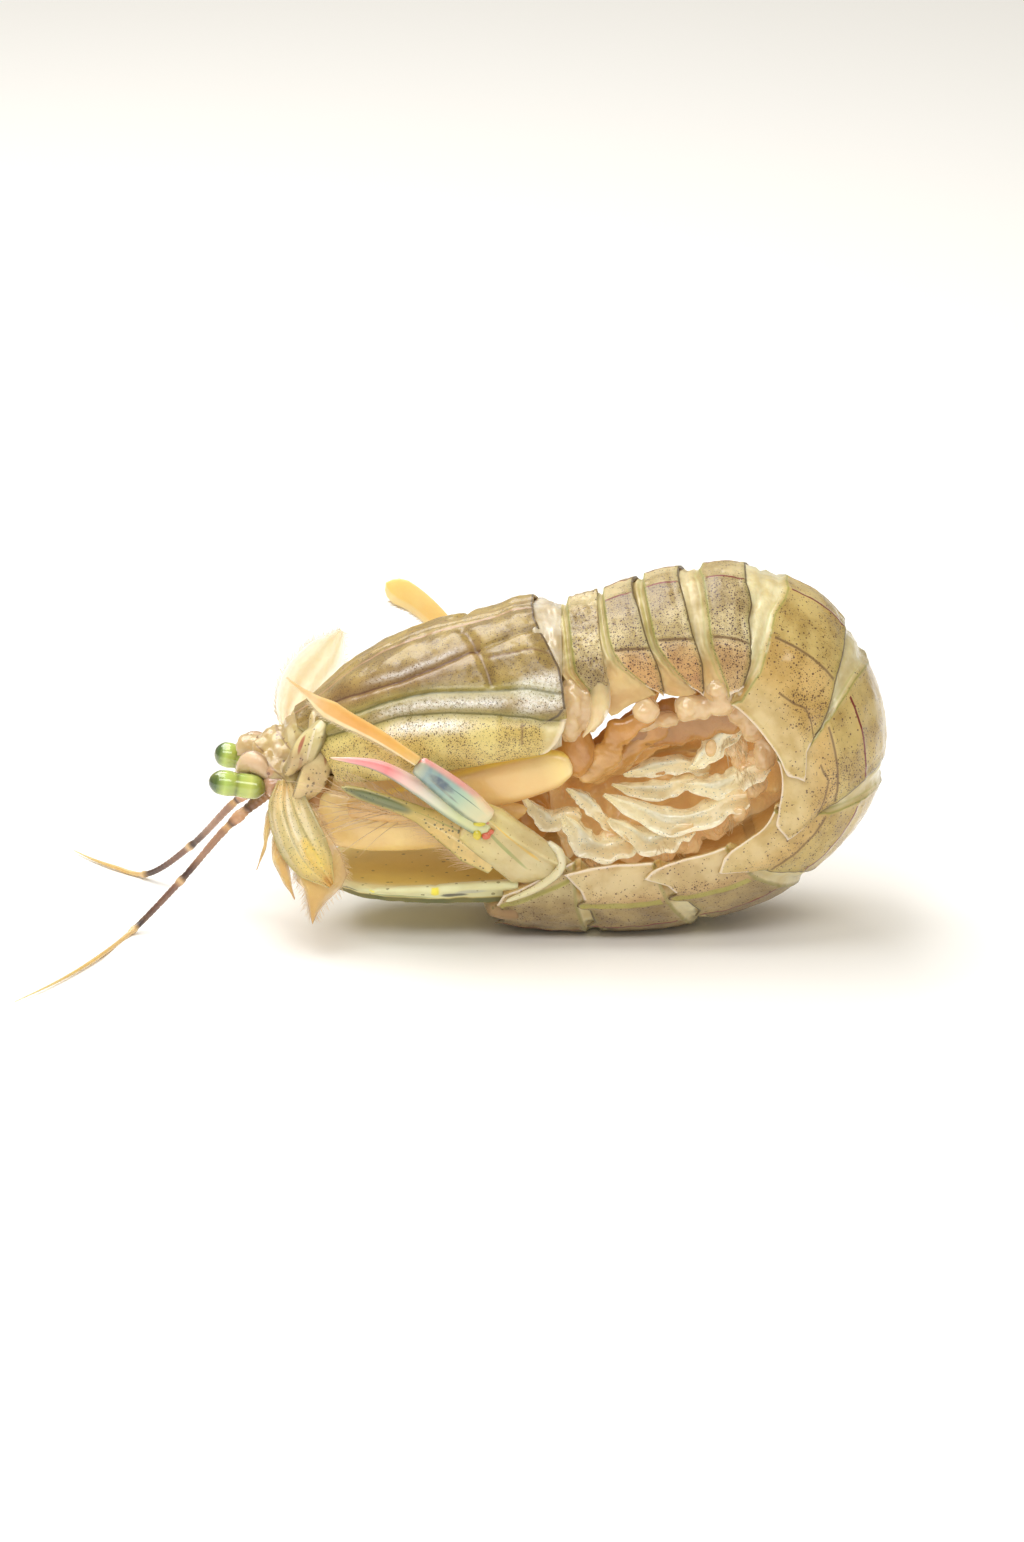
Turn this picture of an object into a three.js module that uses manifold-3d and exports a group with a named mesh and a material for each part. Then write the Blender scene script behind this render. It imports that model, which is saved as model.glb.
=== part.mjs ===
// A raw mantis shrimp, curled up and lying on the back plates of its tail. Millimetres, +Z up.
// The head looks along -X and the tail curls round under it, so that the tail fan ends beside the head.
// The origin is on the floor, under the middle of the whole animal's box.
import * as THREE from "three";
import * as BufferGeometryUtils from "three/addons/utils/BufferGeometryUtils.js";
import Module from "manifold-3d";

const wasm = await Module();
wasm.setup();

// Driving dimensions
const midlineY = 2.9; // the body's middle plane, moved off the box's middle by the left feeler
const gap = 0.3; // left between pieces that touch
const floorZ = 0; // the tail's back is flat where it lies on the floor
const plateStations = 5; // rings along one plate
const archPower = 0.96; // under 1 makes the arch boxier than an ellipse
const halfArch = [0, 15, 26, 37, 48, 60, 75, 90]; // degrees from the middle of the back
const ridges = [15, 37, 60]; // the long ridges that run down the back
const ridgeHeight = 0.2;
const rimWidth = 0.9; // thickness of a plate's free side margin
const bellyRise = 0.15; // how deep the belly lies between the side margins, as a share of the arch
const feelerTipRadius = 0.22;

// The body's joints, head end first: [x, z] of the side margin, [x, z] of the middle of the back,
// and half of the width between the margins. The tail's curl turns about (25.9, 18.3).
const bodyJoints = [
  { margin: [10.95, 27.0], back: [11.1, 33.1], half: 8.0 }, // carapace to thorax 5
  { margin: [14.95, 27.7], back: [14.45, 34.05], half: 8.6 },
  { margin: [20.15, 27.8], back: [18.45, 35.65], half: 9.1 },
  { margin: [24.65, 27.8], back: [23.65, 36.8], half: 9.4 },
  { margin: [28.3, 26.6], back: [30.65, 36.7], half: 9.6 }, // thorax 8 to tail 1
  { margin: [32.9, 20.2], back: [39.3, 31.0], half: 9.8 },
  { margin: [32.3, 14.0], back: [43.0, 16.4], half: 10.0 },
  { margin: [27.2, 10.4], back: [35.3, 5.2], half: 10.1 },
  { margin: [20.2, 8.9], back: [24.95, 0.55], half: 10.0 },
  { margin: [11.7, 8.1], back: [13.45, -0.7], half: 9.6 },
  { margin: [4.65, 6.6], back: [4.35, 0.3], half: 8.8 }, // tail 6 to telson
];
const plateNames = [
  "thorax_5", "thorax_6", "thorax_7", "thorax_8",
  "tail_1", "tail_2", "tail_3", "tail_4", "tail_5", "tail_6",
];

const carapaceJoints = [
  { margin: [-14.0, 16.9], back: [-14.2, 23.2], half: 5.6 }, // front edge, behind the head
  { margin: [-9.0, 17.6], back: [-8.6, 27.6], half: 8.0 },
  { margin: [-3.35, 18.7], back: [-2.5, 30.4], half: 9.3 },
  { margin: [4.0, 20.4], back: [4.0, 32.0], half: 10.2 },
  { margin: [8.0, 21.3], back: [7.9, 33.5], half: 10.5 },
  { margin: [10.65, 22.0], back: [10.65, 33.1], half: 10.2 }, // rear edge, over thorax 5
];

const telsonJoints = [
  { margin: [4.3, 6.2], back: [4.0, 1.7], half: 8.5 },
  { margin: [-3.0, 5.8], back: [-3.0, 2.2], half: 8.9 },
  { margin: [-8.8, 5.5], back: [-8.6, 2.8], half: 7.6 },
  { margin: [-12.2, 5.3], back: [-12.0, 3.9], half: 4.8 }, // rear edge
];

const archAngles = [...halfArch.slice(1).map((degrees) => -degrees).reverse(), ...halfArch];

const group = new THREE.Group();

const shellColour = {
  olive: 0xb8a768,
  tan: 0xc9b27a,
  cream: 0xe3d5a8,
  orange: 0xd9a45c,
  gold: 0xe0b366,
  pink: 0xd9a08a,
  brown: 0xa07a58,
  green: 0x8ea850,
};

function addMesh(name, geometry, colour, roughness = 0.4) {
  const material = new THREE.MeshStandardMaterial({ color: colour, roughness, metalness: 0 });
  const mesh = new THREE.Mesh(geometry, material);
  mesh.name = name;
  group.add(mesh);
}

// Closed body over a list of rings with the same number of points, capped at both ends.
function loftGeometry(rings) {
  const count = rings[0].length;
  const positions = [];
  rings.flat().forEach((point) => positions.push(point.x, point.y, point.z));
  const indices = [];
  for (let r = 0; r < rings.length - 1; r++) {
    for (let i = 0; i < count; i++) {
      const next = (i + 1) % count;
      const a = r * count + i;
      const b = r * count + next;
      indices.push(a, a + count, b, b, a + count, b + count);
    }
  }
  [0, rings.length - 1].forEach((r) => {
    capFaces(rings[r]).forEach(([a, b, c]) => {
      const face = r === 0 ? [a, b, c] : [a, c, b];
      indices.push(...face.map((i) => r * count + i));
    });
  });
  const geometry = new THREE.BufferGeometry();
  geometry.setAttribute("position", new THREE.Float32BufferAttribute(positions, 3));
  geometry.setIndex(volumeOf(positions, indices) < 0 ? indices.reverse() : indices);
  return geometry;
}

// A flat ring filled by triangles that stay inside it, wound the way the ring runs.
function capFaces(ring) {
  const middle = ring.reduce((sum, point) => sum.add(point), new THREE.Vector3());
  middle.divideScalar(ring.length);
  const arms = ring.map((point) => point.clone().sub(middle));
  const normal = new THREE.Vector3();
  arms.forEach((arm, i) => normal.add(arm.clone().cross(arms[(i + 1) % arms.length])));
  normal.normalize();
  const across = arms[0].clone().normalize();
  const up = normal.clone().cross(across);
  const flat = arms.map((arm) => new THREE.Vector2(arm.dot(across), arm.dot(up)));
  return THREE.ShapeUtils.triangulateShape(flat, []).map(([a, b, c]) => {
    const turn = THREE.ShapeUtils.area([flat[a], flat[b], flat[c]]);
    return turn > 0 ? [a, b, c] : [a, c, b];
  });
}

function volumeOf(positions, indices) {
  const corner = (i) => new THREE.Vector3().fromArray(positions, 3 * i);
  let sum = 0;
  for (let i = 0; i < indices.length; i += 3) {
    const cross = corner(indices[i + 1]).cross(corner(indices[i + 2]));
    sum += corner(indices[i]).dot(cross) / 6;
  }
  return sum;
}

function toSolid(geometry) {
  const bare = geometry.clone();
  bare.deleteAttribute("normal");
  bare.deleteAttribute("uv");
  const merged = BufferGeometryUtils.mergeVertices(bare, 1e-4);
  return new wasm.Manifold(
    new wasm.Mesh({
      numProp: 3,
      vertProperties: new Float32Array(merged.attributes.position.array),
      triVerts: new Uint32Array(merged.index.array),
    }),
  );
}

function toGeometry(solid) {
  const mesh = solid.getMesh();
  const geometry = new THREE.BufferGeometry();
  geometry.setAttribute("position", new THREE.Float32BufferAttribute(mesh.vertProperties, 3));
  geometry.setIndex([...mesh.triVerts]);
  return geometry;
}

// The geometry less each of the cutters, which are a gap larger than the pieces they stand for.
function carve(geometry, cutters) {
  const carved = cutters.reduce((solid, cutter) => solid.subtract(toSolid(cutter)), toSolid(geometry));
  return toGeometry(carved);
}

// Plates: an arch from the left margin over the back to the right margin, closed by the belly.
function jointCurves(joints) {
  const marginPoints = joints.map((j) => new THREE.Vector3(j.margin[0], j.half, j.margin[1]));
  const backPoints = joints.map((j) => new THREE.Vector3(j.back[0], 0, j.back[1]));
  return {
    margin: new THREE.CatmullRomCurve3(marginPoints),
    back: new THREE.CatmullRomCurve3(backPoints),
    count: joints.length - 1,
  };
}

function plateRing(curves, place, { swell = 1, grow = 0, shift = 0, belly = bellyRise } = {}) {
  const margin = curves.margin.getPoint(place / curves.count);
  const back = curves.back.getPoint(place / curves.count);
  const up = new THREE.Vector3(back.x - margin.x, 0, back.z - margin.z);
  const height = up.length();
  up.normalize();
  const along = new THREE.Vector3(0, 1, 0).cross(up);
  const half = margin.y * swell + grow;
  const tall = height * swell + 2 * grow;
  const foot = new THREE.Vector3(margin.x, midlineY, margin.z);
  foot.addScaledVector(up, -grow - (height * (swell - 1)) / 3).addScaledVector(along, shift);
  const spot = (y, rise) => new THREE.Vector3(0, y, 0).add(foot).addScaledVector(up, rise);
  const ring = [];
  archAngles.forEach((degrees) => {
    const angle = THREE.MathUtils.degToRad(degrees);
    const lift = ridges.includes(Math.abs(degrees)) ? ridgeHeight : 0;
    const across = Math.sign(angle) * Math.abs(Math.sin(angle)) ** archPower;
    const rise = Math.max(Math.cos(angle), 0) ** archPower;
    ring.push(spot((half + lift) * across, (tall + lift) * rise));
  });
  const inner = half - rimWidth - 2 * grow;
  const bellyDepth = height * swell * belly;
  [[inner, 0], [inner - 0.6, 0.85], [inner * 0.5, 1.1], [0, 0.9]].forEach(([y, depth]) => {
    ring.push(spot(y, bellyDepth * depth));
  });
  [[inner * 0.5, 1.1], [inner - 0.6, 0.85], [inner, 0]].forEach(([y, depth]) => {
    ring.push(spot(-y, bellyDepth * depth));
  });
  return ring;
}

function plateGeometry(curves, from, to, options = {}) {
  const { grow = 0, neck = 0.94, flare = 1.02, belly = bellyRise, ends = gap / 2 } = options;
  const rings = [];
  for (let s = 0; s < plateStations; s++) {
    const part = s / (plateStations - 1);
    const swell = neck + (flare - neck) * Math.sin((part * Math.PI) / 2) ** 0.6;
    const shift = s === 0 ? ends - grow : s === plateStations - 1 ? grow - ends : 0;
    rings.push(plateRing(curves, from + (to - from) * part, { swell, grow, shift, belly }));
  }
  return loftGeometry(rings);
}

const bodyCurves = jointCurves(bodyJoints);
const carapaceCurves = jointCurves(carapaceJoints);
const telsonCurves = jointCurves(telsonJoints);

const plateCutter = (index) => plateGeometry(bodyCurves, index, index + 1, { grow: gap });
const carapaceCutter = () => plateGeometry(
  carapaceCurves, 0, carapaceCurves.count, { grow: gap, neck: 1, flare: 1, belly: 0.06, ends: 0 },
);

function floorBox() {
  const box = new THREE.BoxGeometry(120, 80, 20);
  return box.translate(20, 0, floorZ - 10);
}

function addPlates() {
  plateNames.forEach((name, index) => {
    const plate = plateGeometry(bodyCurves, index, index + 1);
    const low = index >= 7;
    addMesh(name, low ? carve(plate, [floorBox()]) : plate, shellColour.tan);
  });
  const carapace = plateGeometry(
    carapaceCurves, 0, carapaceCurves.count, { neck: 1, flare: 1, belly: 0.06, ends: 0 },
  );
  addMesh("carapace", carapace, shellColour.olive);
  const telson = plateGeometry(
    telsonCurves, 0, telsonCurves.count, { neck: 1, flare: 1, belly: 0.12, ends: gap / 2 },
  );
  addMesh("telson", telson, shellColour.olive);
}

// Limbs: an oval section that follows a smooth path, with its width along the across direction.
function limbGeometry({ path, wide, thick, across, sides = 8, steps = 8, grow = 0 }) {
  const points = path.map(([x, y, z]) => new THREE.Vector3(x, y + midlineY, z));
  const curve = new THREE.CatmullRomCurve3(points);
  const widthAt = profile(wide);
  const thickAt = profile(thick);
  const rings = [];
  for (let s = 0; s <= steps; s++) {
    const part = s / steps;
    const centre = curve.getPoint(part);
    const tangent = curve.getTangent(part);
    const side = new THREE.Vector3(...across).projectOnPlane(tangent).normalize();
    const normal = tangent.clone().cross(side);
    const end = s === 0 ? -grow : s === steps ? grow : 0;
    centre.addScaledVector(tangent, end);
    const ring = [];
    for (let i = 0; i < sides; i++) {
      const angle = (i / sides) * 2 * Math.PI;
      const point = centre.clone();
      point.addScaledVector(side, (widthAt(part) / 2 + grow) * Math.cos(angle));
      point.addScaledVector(normal, (thickAt(part) / 2 + grow) * Math.sin(angle));
      ring.push(point);
    }
    rings.push(ring);
  }
  return loftGeometry(rings);
}

const limbGrown = (shape) => limbGeometry({ ...shape, grow: gap });

// Straight lines between evenly spaced values.
function profile(values) {
  return (part) => {
    const spot = part * (values.length - 1);
    const index = Math.min(Math.floor(spot), values.length - 2);
    return THREE.MathUtils.lerp(values[index], values[index + 1], spot - index);
  };
}

const head = {
  path: [[-14.75, 0, 18.9], [-17.2, 0, 17.4], [-20.4, 0, 15.9]],
  wide: [10.2, 9.6, 5.6],
  thick: [6.6, 6.4, 4.0],
  across: [0, 1, 0],
  sides: 14,
  steps: 5,
};

// Each side has its own pose, so these are given per side: left first.
const sides = [
  {
    name: "left",
    eye: {
      path: [[-24.3, -4.2, 16.2], [-21.7, -4.0, 15.7], [-19.0, -3.8, 15.3]],
    },
    feeler: {
      path: [
        [-18.6, -2.6, 14.1], [-22.5, -3.1, 10.9], [-27.2, -3.7, 5.4], [-31.9, -4.6, 0.55],
        [-35.5, -12.5, 0.35], [-38.9, -18.4, 0.3], [-43.1, -24.3, 0.3],
      ],
    },
    scale: {
      path: [
        [-17.2, -4.6, 16.6], [-16.9, -7.4, 14.6], [-15.7, -9.4, 11.2], [-14.3, -10.6, 7.8],
        [-13.6, -11.0, 4.4],
      ],
      wide: [1.4, 3.4, 6.0, 5.6, 0.8],
    },
    arm: {
      path: [[11.2, -7.7, 18.9], [4.6, -7.6, 16.6], [-3.3, -6.9, 14.7], [-10.6, -5.6, 13.6]],
    },
    hand: {
      path: [[-11.0, -5.5, 12.8], [-8.0, -6.0, 11.0], [0.0, -6.6, 11.2], [7.4, -5.9, 13.6]],
    },
    fanBase: {
      path: [[9.0, -8.4, 8.6], [5.8, -9.3, 10.6], [2.9, -9.9, 13.6]],
      wide: [6.6, 6.2, 3.4],
    },
    fanSpine: {
      path: [[2.3, -10.2, 12.9], [-3.9, -10.9, 17.4], [-12.2, -11.4, 21.2]],
    },
    fanOuter: {
      path: [[4.3, -10.9, 12.6], [0.2, -12.0, 16.8], [-3.5, -12.3, 20.0]],
    },
    fanBlade: {
      path: [[-3.8, -12.3, 20.3], [-8.2, -12.3, 23.6], [-12.9, -12.3, 27.0], [-16.3, -12.3, 29.6]],
    },
    fanInner: {
      path: [[3.2, -9.2, 10.4], [-4.6, -9.4, 13.6], [-11.1, -9.4, 16.6]],
    },
  },
  {
    name: "right",
    eye: {
      path: [[-24.0, 3.9, 16.3], [-21.7, 3.6, 15.8], [-19.2, 3.4, 15.4]],
    },
    feeler: {
      path: [
        [-18.8, 2.4, 13.9], [-21.9, 3.0, 11.3], [-26.5, 7.0, 5.1], [-31.3, 10.9, 0.55],
        [-34.6, 13.6, 0.35], [-36.6, 15.7, 0.3], [-38.8, 18.5, 0.3],
      ],
    },
    scale: {
      path: [
        [-16.6, 4.4, 18.0], [-16.3, 6.6, 19.8], [-14.9, 7.9, 22.4], [-12.9, 8.8, 24.8],
        [-11.2, 9.4, 27.2],
      ],
      wide: [1.4, 3.2, 4.8, 4.2, 0.8],
    },
    arm: {
      path: [[11.2, 7.7, 18.9], [4.6, 7.6, 16.6], [-3.3, 6.9, 14.7], [-10.6, 5.6, 13.6]],
    },
    hand: {
      path: [[-11.0, 5.5, 12.8], [-8.0, 6.0, 11.0], [0.0, 6.6, 11.2], [7.4, 5.9, 13.6]],
    },
    fanBase: {
      path: [[8.6, 8.6, 8.4], [7.2, 9.7, 11.4], [6.0, 10.4, 14.6]],
      wide: [6.6, 6.2, 3.4],
    },
    fanSpine: {
      path: [[5.3, 10.6, 14.0], [-1.6, 11.1, 19.6], [-8.9, 11.5, 24.1]],
    },
    fanOuter: {
      path: [[6.9, 11.4, 13.8], [4.4, 12.4, 18.6], [2.2, 12.5, 22.4]],
    },
    fanBlade: {
      path: [[2.0, 12.5, 22.8], [-0.6, 12.4, 26.2], [-3.8, 12.2, 29.4], [-6.8, 12.0, 31.4]],
    },
    fanInner: {
      path: [[5.4, 9.7, 10.9], [-1.0, 9.8, 14.4], [-6.4, 9.8, 17.2]],
    },
  },
];

function addHead() {
  const eyeShape = (side, grow = 0) => limbGeometry({
    ...side.eye, wide: [1.0, 2.3, 2.6, 2.5, 1.2], thick: [1.0, 2.3, 2.6, 2.5, 1.2],
    across: [0, 1, 0], sides: 12, steps: 8, grow,
  });
  const headCutters = [carapaceCutter(), ...sides.map((side) => eyeShape(side, gap))];
  addMesh("head", carve(limbGeometry(head), headCutters), shellColour.pink);
  sides.forEach((side) => {
    addMesh(`eye_${side.name}`, eyeShape(side), shellColour.green, 0.15);
    const feeler = limbGeometry({
      ...side.feeler, wide: [1.7, 1.6, 1.2, 0.8, 2 * feelerTipRadius, 2 * feelerTipRadius, 0.3],
      thick: [1.7, 1.6, 1.2, 0.8, 2 * feelerTipRadius, 2 * feelerTipRadius, 0.3],
      across: [0, 1, 0], sides: 6, steps: 20,
    });
    const headCutter = limbGeometry({ ...head, grow: gap });
    addMesh(`feeler_${side.name}`, carve(feeler, [headCutter, floorBox()]), shellColour.brown);
    const scale = limbGeometry({
      ...side.scale, thick: [1.2, 1.0, 0.8, 0.7, 0.4], across: [1, 0, 0.2], sides: 8, steps: 9,
    });
    addMesh(`scale_${side.name}`, carve(scale, [headCutter]), shellColour.gold);
  });
}

const mouthShape = {
  path: [[-13.6, 0, 14.4], [-6.0, 0, 15.2], [2.0, 0, 16.6], [8.6, 0, 18.4]],
  wide: [6.0, 8.4, 8.4, 6.4],
  thick: [4.4, 6.0, 6.4, 5.0],
  across: [0, 1, 0],
  sides: 12,
  steps: 7,
};

function addMouth() {
  const mouth = limbGeometry(mouthShape);
  const cutters = [carapaceCutter(), limbGeometry({ ...head, grow: gap })];
  addMesh("mouthparts", carve(mouth, cutters), shellColour.orange);
  const chest = limbGeometry({
    path: [[12.9, 0, 28.2], [12.4, 0, 22.4], [10.9, 0, 17.2]], wide: [12.0, 11.0, 7.0],
    thick: [3.8, 3.8, 1.6], across: [0, 1, 0], sides: 12, steps: 6,
  });
  const chestCutters = [carapaceCutter(), plateCutter(0), limbGrown(mouthShape)];
  addMesh("chest", carve(chest, chestCutters), shellColour.orange);
}

function addClaws() {
  sides.forEach((side) => {
    const armShape = {
      ...side.arm, wide: [4.4, 4.4, 3.6, 2.2], thick: [2.0, 2.6, 2.4, 1.8],
      across: [0, 0, 1], sides: 10, steps: 9,
    };
    addMesh(`claw_${side.name}_arm`, carve(limbGeometry(armShape), [carapaceCutter()]), shellColour.gold);
    const hand = limbGeometry({
      ...side.hand, wide: [1.6, 2.6, 2.4, 0.8], thick: [1.4, 1.8, 1.6, 0.6],
      across: [0, 0, 1], sides: 8, steps: 9,
    });
    addMesh(`claw_${side.name}_hand`, carve(hand, [limbGrown(armShape)]), shellColour.orange);
  });
}

// Walking legs: they hang from thorax 6 to 8 and fold forward, one inside the other.
const legs = { roots: [19.7, 23.7, 27.2], offset: [6.6, 4.4, 2.2], footX: [12.6, 13.2, 13.8] };

function addLegs() {
  [-1, 1].forEach((hand, sideIndex) => {
    legs.roots.forEach((rootX, index) => {
      const y = hand * legs.offset[index];
      const footX = legs.footX[index];
      const drop = 0.9 * index;
      const leftPath = [
        [rootX, y, 26.9], [rootX - 0.5, y, 23.9], [rootX - 3.4, y, 21.8],
        [footX + 2.5, y, 19.3 - drop], [footX, y, 17.0 - drop],
      ];
      const rightPath = [
        [rootX, y, 26.9], [rootX - 0.2, y, 21.8], [rootX - 1.8, y, 17.8],
        [footX + 3.2, y, 16.3 - drop], [footX + 0.2, y, 15.0 - drop],
      ];
      const leg = limbGeometry({
        path: hand < 0 ? leftPath : rightPath,
        wide: [1.3, 1.5, 1.6, 1.4, 0.7], thick: [1.5, 1.7, 2.6, 2.6, 0.9],
        across: [0, 1, 0], sides: 8, steps: 10,
      });
      const cutters = [plateCutter(index + 1), plateCutter(Math.min(index + 2, 3))];
      addMesh(`leg_${sides[sideIndex].name}_${index + 1}`, carve(leg, cutters), shellColour.orange);
    });
  });
}

const swimmeretY = 5.0; // out from the middle plane

// Swimmerets: leaves under tail 1 to 5, that lie over one another and point towards the head.
const swimmerets = [
  { foot: [32.2, 25.6], root: [30.2, 23.4], tip: [24.2, 18.8] },
  { foot: [34.6, 18.3], root: [31.6, 17.8], tip: [23.6, 16.0] },
  { foot: [32.0, 11.5], root: [29.4, 13.4], tip: [20.8, 14.2] },
  { foot: [25.0, 8.2], root: [23.6, 11.0], tip: [15.2, 13.4] },
  { foot: [16.8, 6.9], root: [16.2, 10.0], tip: [8.4, 13.4] },
];

function addSwimmerets() {
  [-1, 1].forEach((hand, sideIndex) => {
    swimmerets.forEach(({ foot, root, tip }, index) => {
      const y = hand * swimmeretY;
      const leaf = limbGeometry({
        path: [
          [foot[0], y * 0.9, foot[1]],
          [root[0], y, root[1]],
          [(root[0] * 2 + tip[0]) / 3, y, (root[1] * 2 + tip[1]) / 3 + 0.3],
          [(root[0] + tip[0] * 2) / 3, y * 1.05, (root[1] + tip[1] * 2) / 3 + 0.2],
          [tip[0], y, tip[1]],
        ],
        wide: [1.6, 2.4, 3.8, 4.2, 1.6], thick: [1.4, 1.1, 1.0, 0.8, 0.4], across: [0, 0.75, 0.66],
        sides: 8, steps: 8,
      });
      const cutters = [plateCutter(index + 4), plateCutter(Math.min(index + 5, 9))];
      addMesh(`swimmeret_${sides[sideIndex].name}_${index + 1}`, carve(leaf, cutters), shellColour.cream);
    });
  });
}

// Tail fan: on each side a base with a long spine, a two-part outer blade and an inner blade.
function addFans() {
  const plateCutters = [plateCutter(9), plateCutter(8)];
  const telsonCutter = plateGeometry(
    telsonCurves, 0, telsonCurves.count, { grow: gap, neck: 1, flare: 1, belly: 0.12, ends: 0 },
  );
  sides.forEach((side) => {
    const baseShape = {
      ...side.fanBase, thick: [2.4, 2.0, 1.4], across: [1, 0, 1], sides: 10, steps: 5,
    };
    const spineShape = {
      ...side.fanSpine, wide: [3.0, 1.8, 0.3], thick: [1.3, 1.0, 0.3], across: [1, 0, 1], steps: 6,
    };
    const baseCutters = [limbGrown(baseShape), limbGrown(spineShape)];
    const joined = toGeometry(toSolid(limbGeometry(baseShape)).add(toSolid(limbGeometry(spineShape))));
    addMesh(`fan_${side.name}_base`, carve(joined, [...plateCutters, telsonCutter]), shellColour.cream);
    const outer = limbGeometry({
      ...side.fanOuter, wide: [2.6, 3.4, 2.4], thick: [1.0, 1.2, 0.9], across: [1, 0, 1], steps: 5,
    });
    addMesh(`fan_${side.name}_outer`, carve(outer, baseCutters), shellColour.tan);
    const blade = limbGeometry({
      ...side.fanBlade, wide: [2.0, 3.4, 2.6, 0.5], thick: [0.7, 0.7, 0.6, 0.3],
      across: [1, 0, 1], steps: 8,
    });
    addMesh(`fan_${side.name}_blade`, blade, shellColour.gold);
    const inner = limbGeometry({
      ...side.fanInner, wide: [2.2, 3.2, 0.8], thick: [0.8, 0.8, 0.4], across: [1, 0, 1], steps: 7,
    });
    addMesh(`fan_${side.name}_inner`, carve(inner, [telsonCutter, ...baseCutters]), shellColour.olive);
  });
}

addPlates();
addHead();
addMouth();
addClaws();
addLegs();
addSwimmerets();
addFans();

export default group;
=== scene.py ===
import math

import bmesh
import bpy
import numpy as np
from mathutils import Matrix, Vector


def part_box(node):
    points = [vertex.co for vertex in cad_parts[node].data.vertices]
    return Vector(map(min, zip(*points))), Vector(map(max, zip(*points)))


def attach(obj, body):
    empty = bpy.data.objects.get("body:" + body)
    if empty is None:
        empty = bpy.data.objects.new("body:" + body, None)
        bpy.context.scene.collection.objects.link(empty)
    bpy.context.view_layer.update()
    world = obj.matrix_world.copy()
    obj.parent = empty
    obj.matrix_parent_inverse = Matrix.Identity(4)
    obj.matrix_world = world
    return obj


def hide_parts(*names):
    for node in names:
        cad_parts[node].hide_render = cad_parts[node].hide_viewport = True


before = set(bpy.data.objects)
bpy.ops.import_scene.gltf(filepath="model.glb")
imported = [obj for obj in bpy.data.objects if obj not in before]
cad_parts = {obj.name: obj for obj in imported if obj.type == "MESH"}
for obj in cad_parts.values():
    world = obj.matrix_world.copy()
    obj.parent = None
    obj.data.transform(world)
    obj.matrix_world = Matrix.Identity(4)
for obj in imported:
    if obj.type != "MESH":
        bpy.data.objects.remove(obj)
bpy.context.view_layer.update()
scene = bpy.context.scene
mm = 0.001  # shapes are worked out in millimetres
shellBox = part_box("carapace")
midY = (shellBox[0][1] + shellBox[1][1]) / 2 / mm  # the body's middle plane
sides = (("left", -1), ("right", 1))
noLine = 9.0  # a distance at which no drawn line shows
print("frame with", len(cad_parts), "nodes loaded")


def tone(text):
    parts = [int(text[i : i + 2], 16) / 255 for i in (1, 3, 5)]
    linear = [p / 12.92 if p < 0.04045 else ((p + 0.055) / 1.055) ** 2.4 for p in parts]
    return (*linear, 1.0)


def feed(tree, socket, value):
    # a socket takes another node's output, a plain value or nothing
    if isinstance(value, bpy.types.NodeSocket):
        tree.links.new(value, socket)
    elif value is not None:
        socket.default_value = value


def addNode(tree, kind, inputs=None, **settings):
    made = tree.nodes.new(kind)
    for key, value in settings.items():
        setattr(made, key, value)
    for socket, value in (inputs or {}).items():
        feed(tree, made.inputs[socket], value)
    return made


def mathNode(tree, operation, *values, **settings):
    made = addNode(tree, "ShaderNodeMath", dict(enumerate(values)), operation=operation, **settings)
    return made.outputs[0]


def times(tree, first, second):
    return mathNode(tree, "MULTIPLY", first, second)


def rampMask(tree, value, low, high):
    # 0 below low, 1 above high and a soft step between
    inputs = {"Value": value, "From Min": low, "From Max": high}
    made = addNode(tree, "ShaderNodeMapRange", inputs, interpolation_type="SMOOTHSTEP", clamp=True)
    return made.outputs["Result"]


def stretched(tree, value, low, high):
    # 0 to 1 becomes low to high
    inputs = {"Value": value, "To Min": low, "To Max": high}
    return addNode(tree, "ShaderNodeMapRange", inputs).outputs["Result"]


def mixColour(tree, share, first, second):
    return addNode(tree, "ShaderNodeMix", {0: share, 6: first, 7: second}, data_type="RGBA").outputs[2]


def nodeGroup(name, kind, inputs, outputs):
    # sockets are given by label and kind; known holds the identifier of each input
    tree = bpy.data.node_groups.new(name, kind)
    known = {}
    for label, (socketKind, value) in inputs.items():
        socket = tree.interface.new_socket(label, in_out="INPUT", socket_type="NodeSocket" + socketKind)
        if value is not None:
            socket.default_value = value
        known[label] = socket.identifier
    for label, socketKind in outputs.items():
        tree.interface.new_socket(label, in_out="OUTPUT", socket_type="NodeSocket" + socketKind)
    given, final = tree.nodes.new("NodeGroupInput"), tree.nodes.new("NodeGroupOutput")
    return tree, given.outputs, final.inputs, known


def shaderGroup(name, inputs, outputs):
    kinds = {label: ("Vector" if value is None else "Float", value) for label, value in inputs.items()}
    return nodeGroup(name, "ShaderNodeTree", kinds, dict.fromkeys(outputs, "Float"))[:3]


def useGroup(tree, group, inputs):
    return addNode(tree, "ShaderNodeGroup", inputs, node_tree=group).outputs


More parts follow.
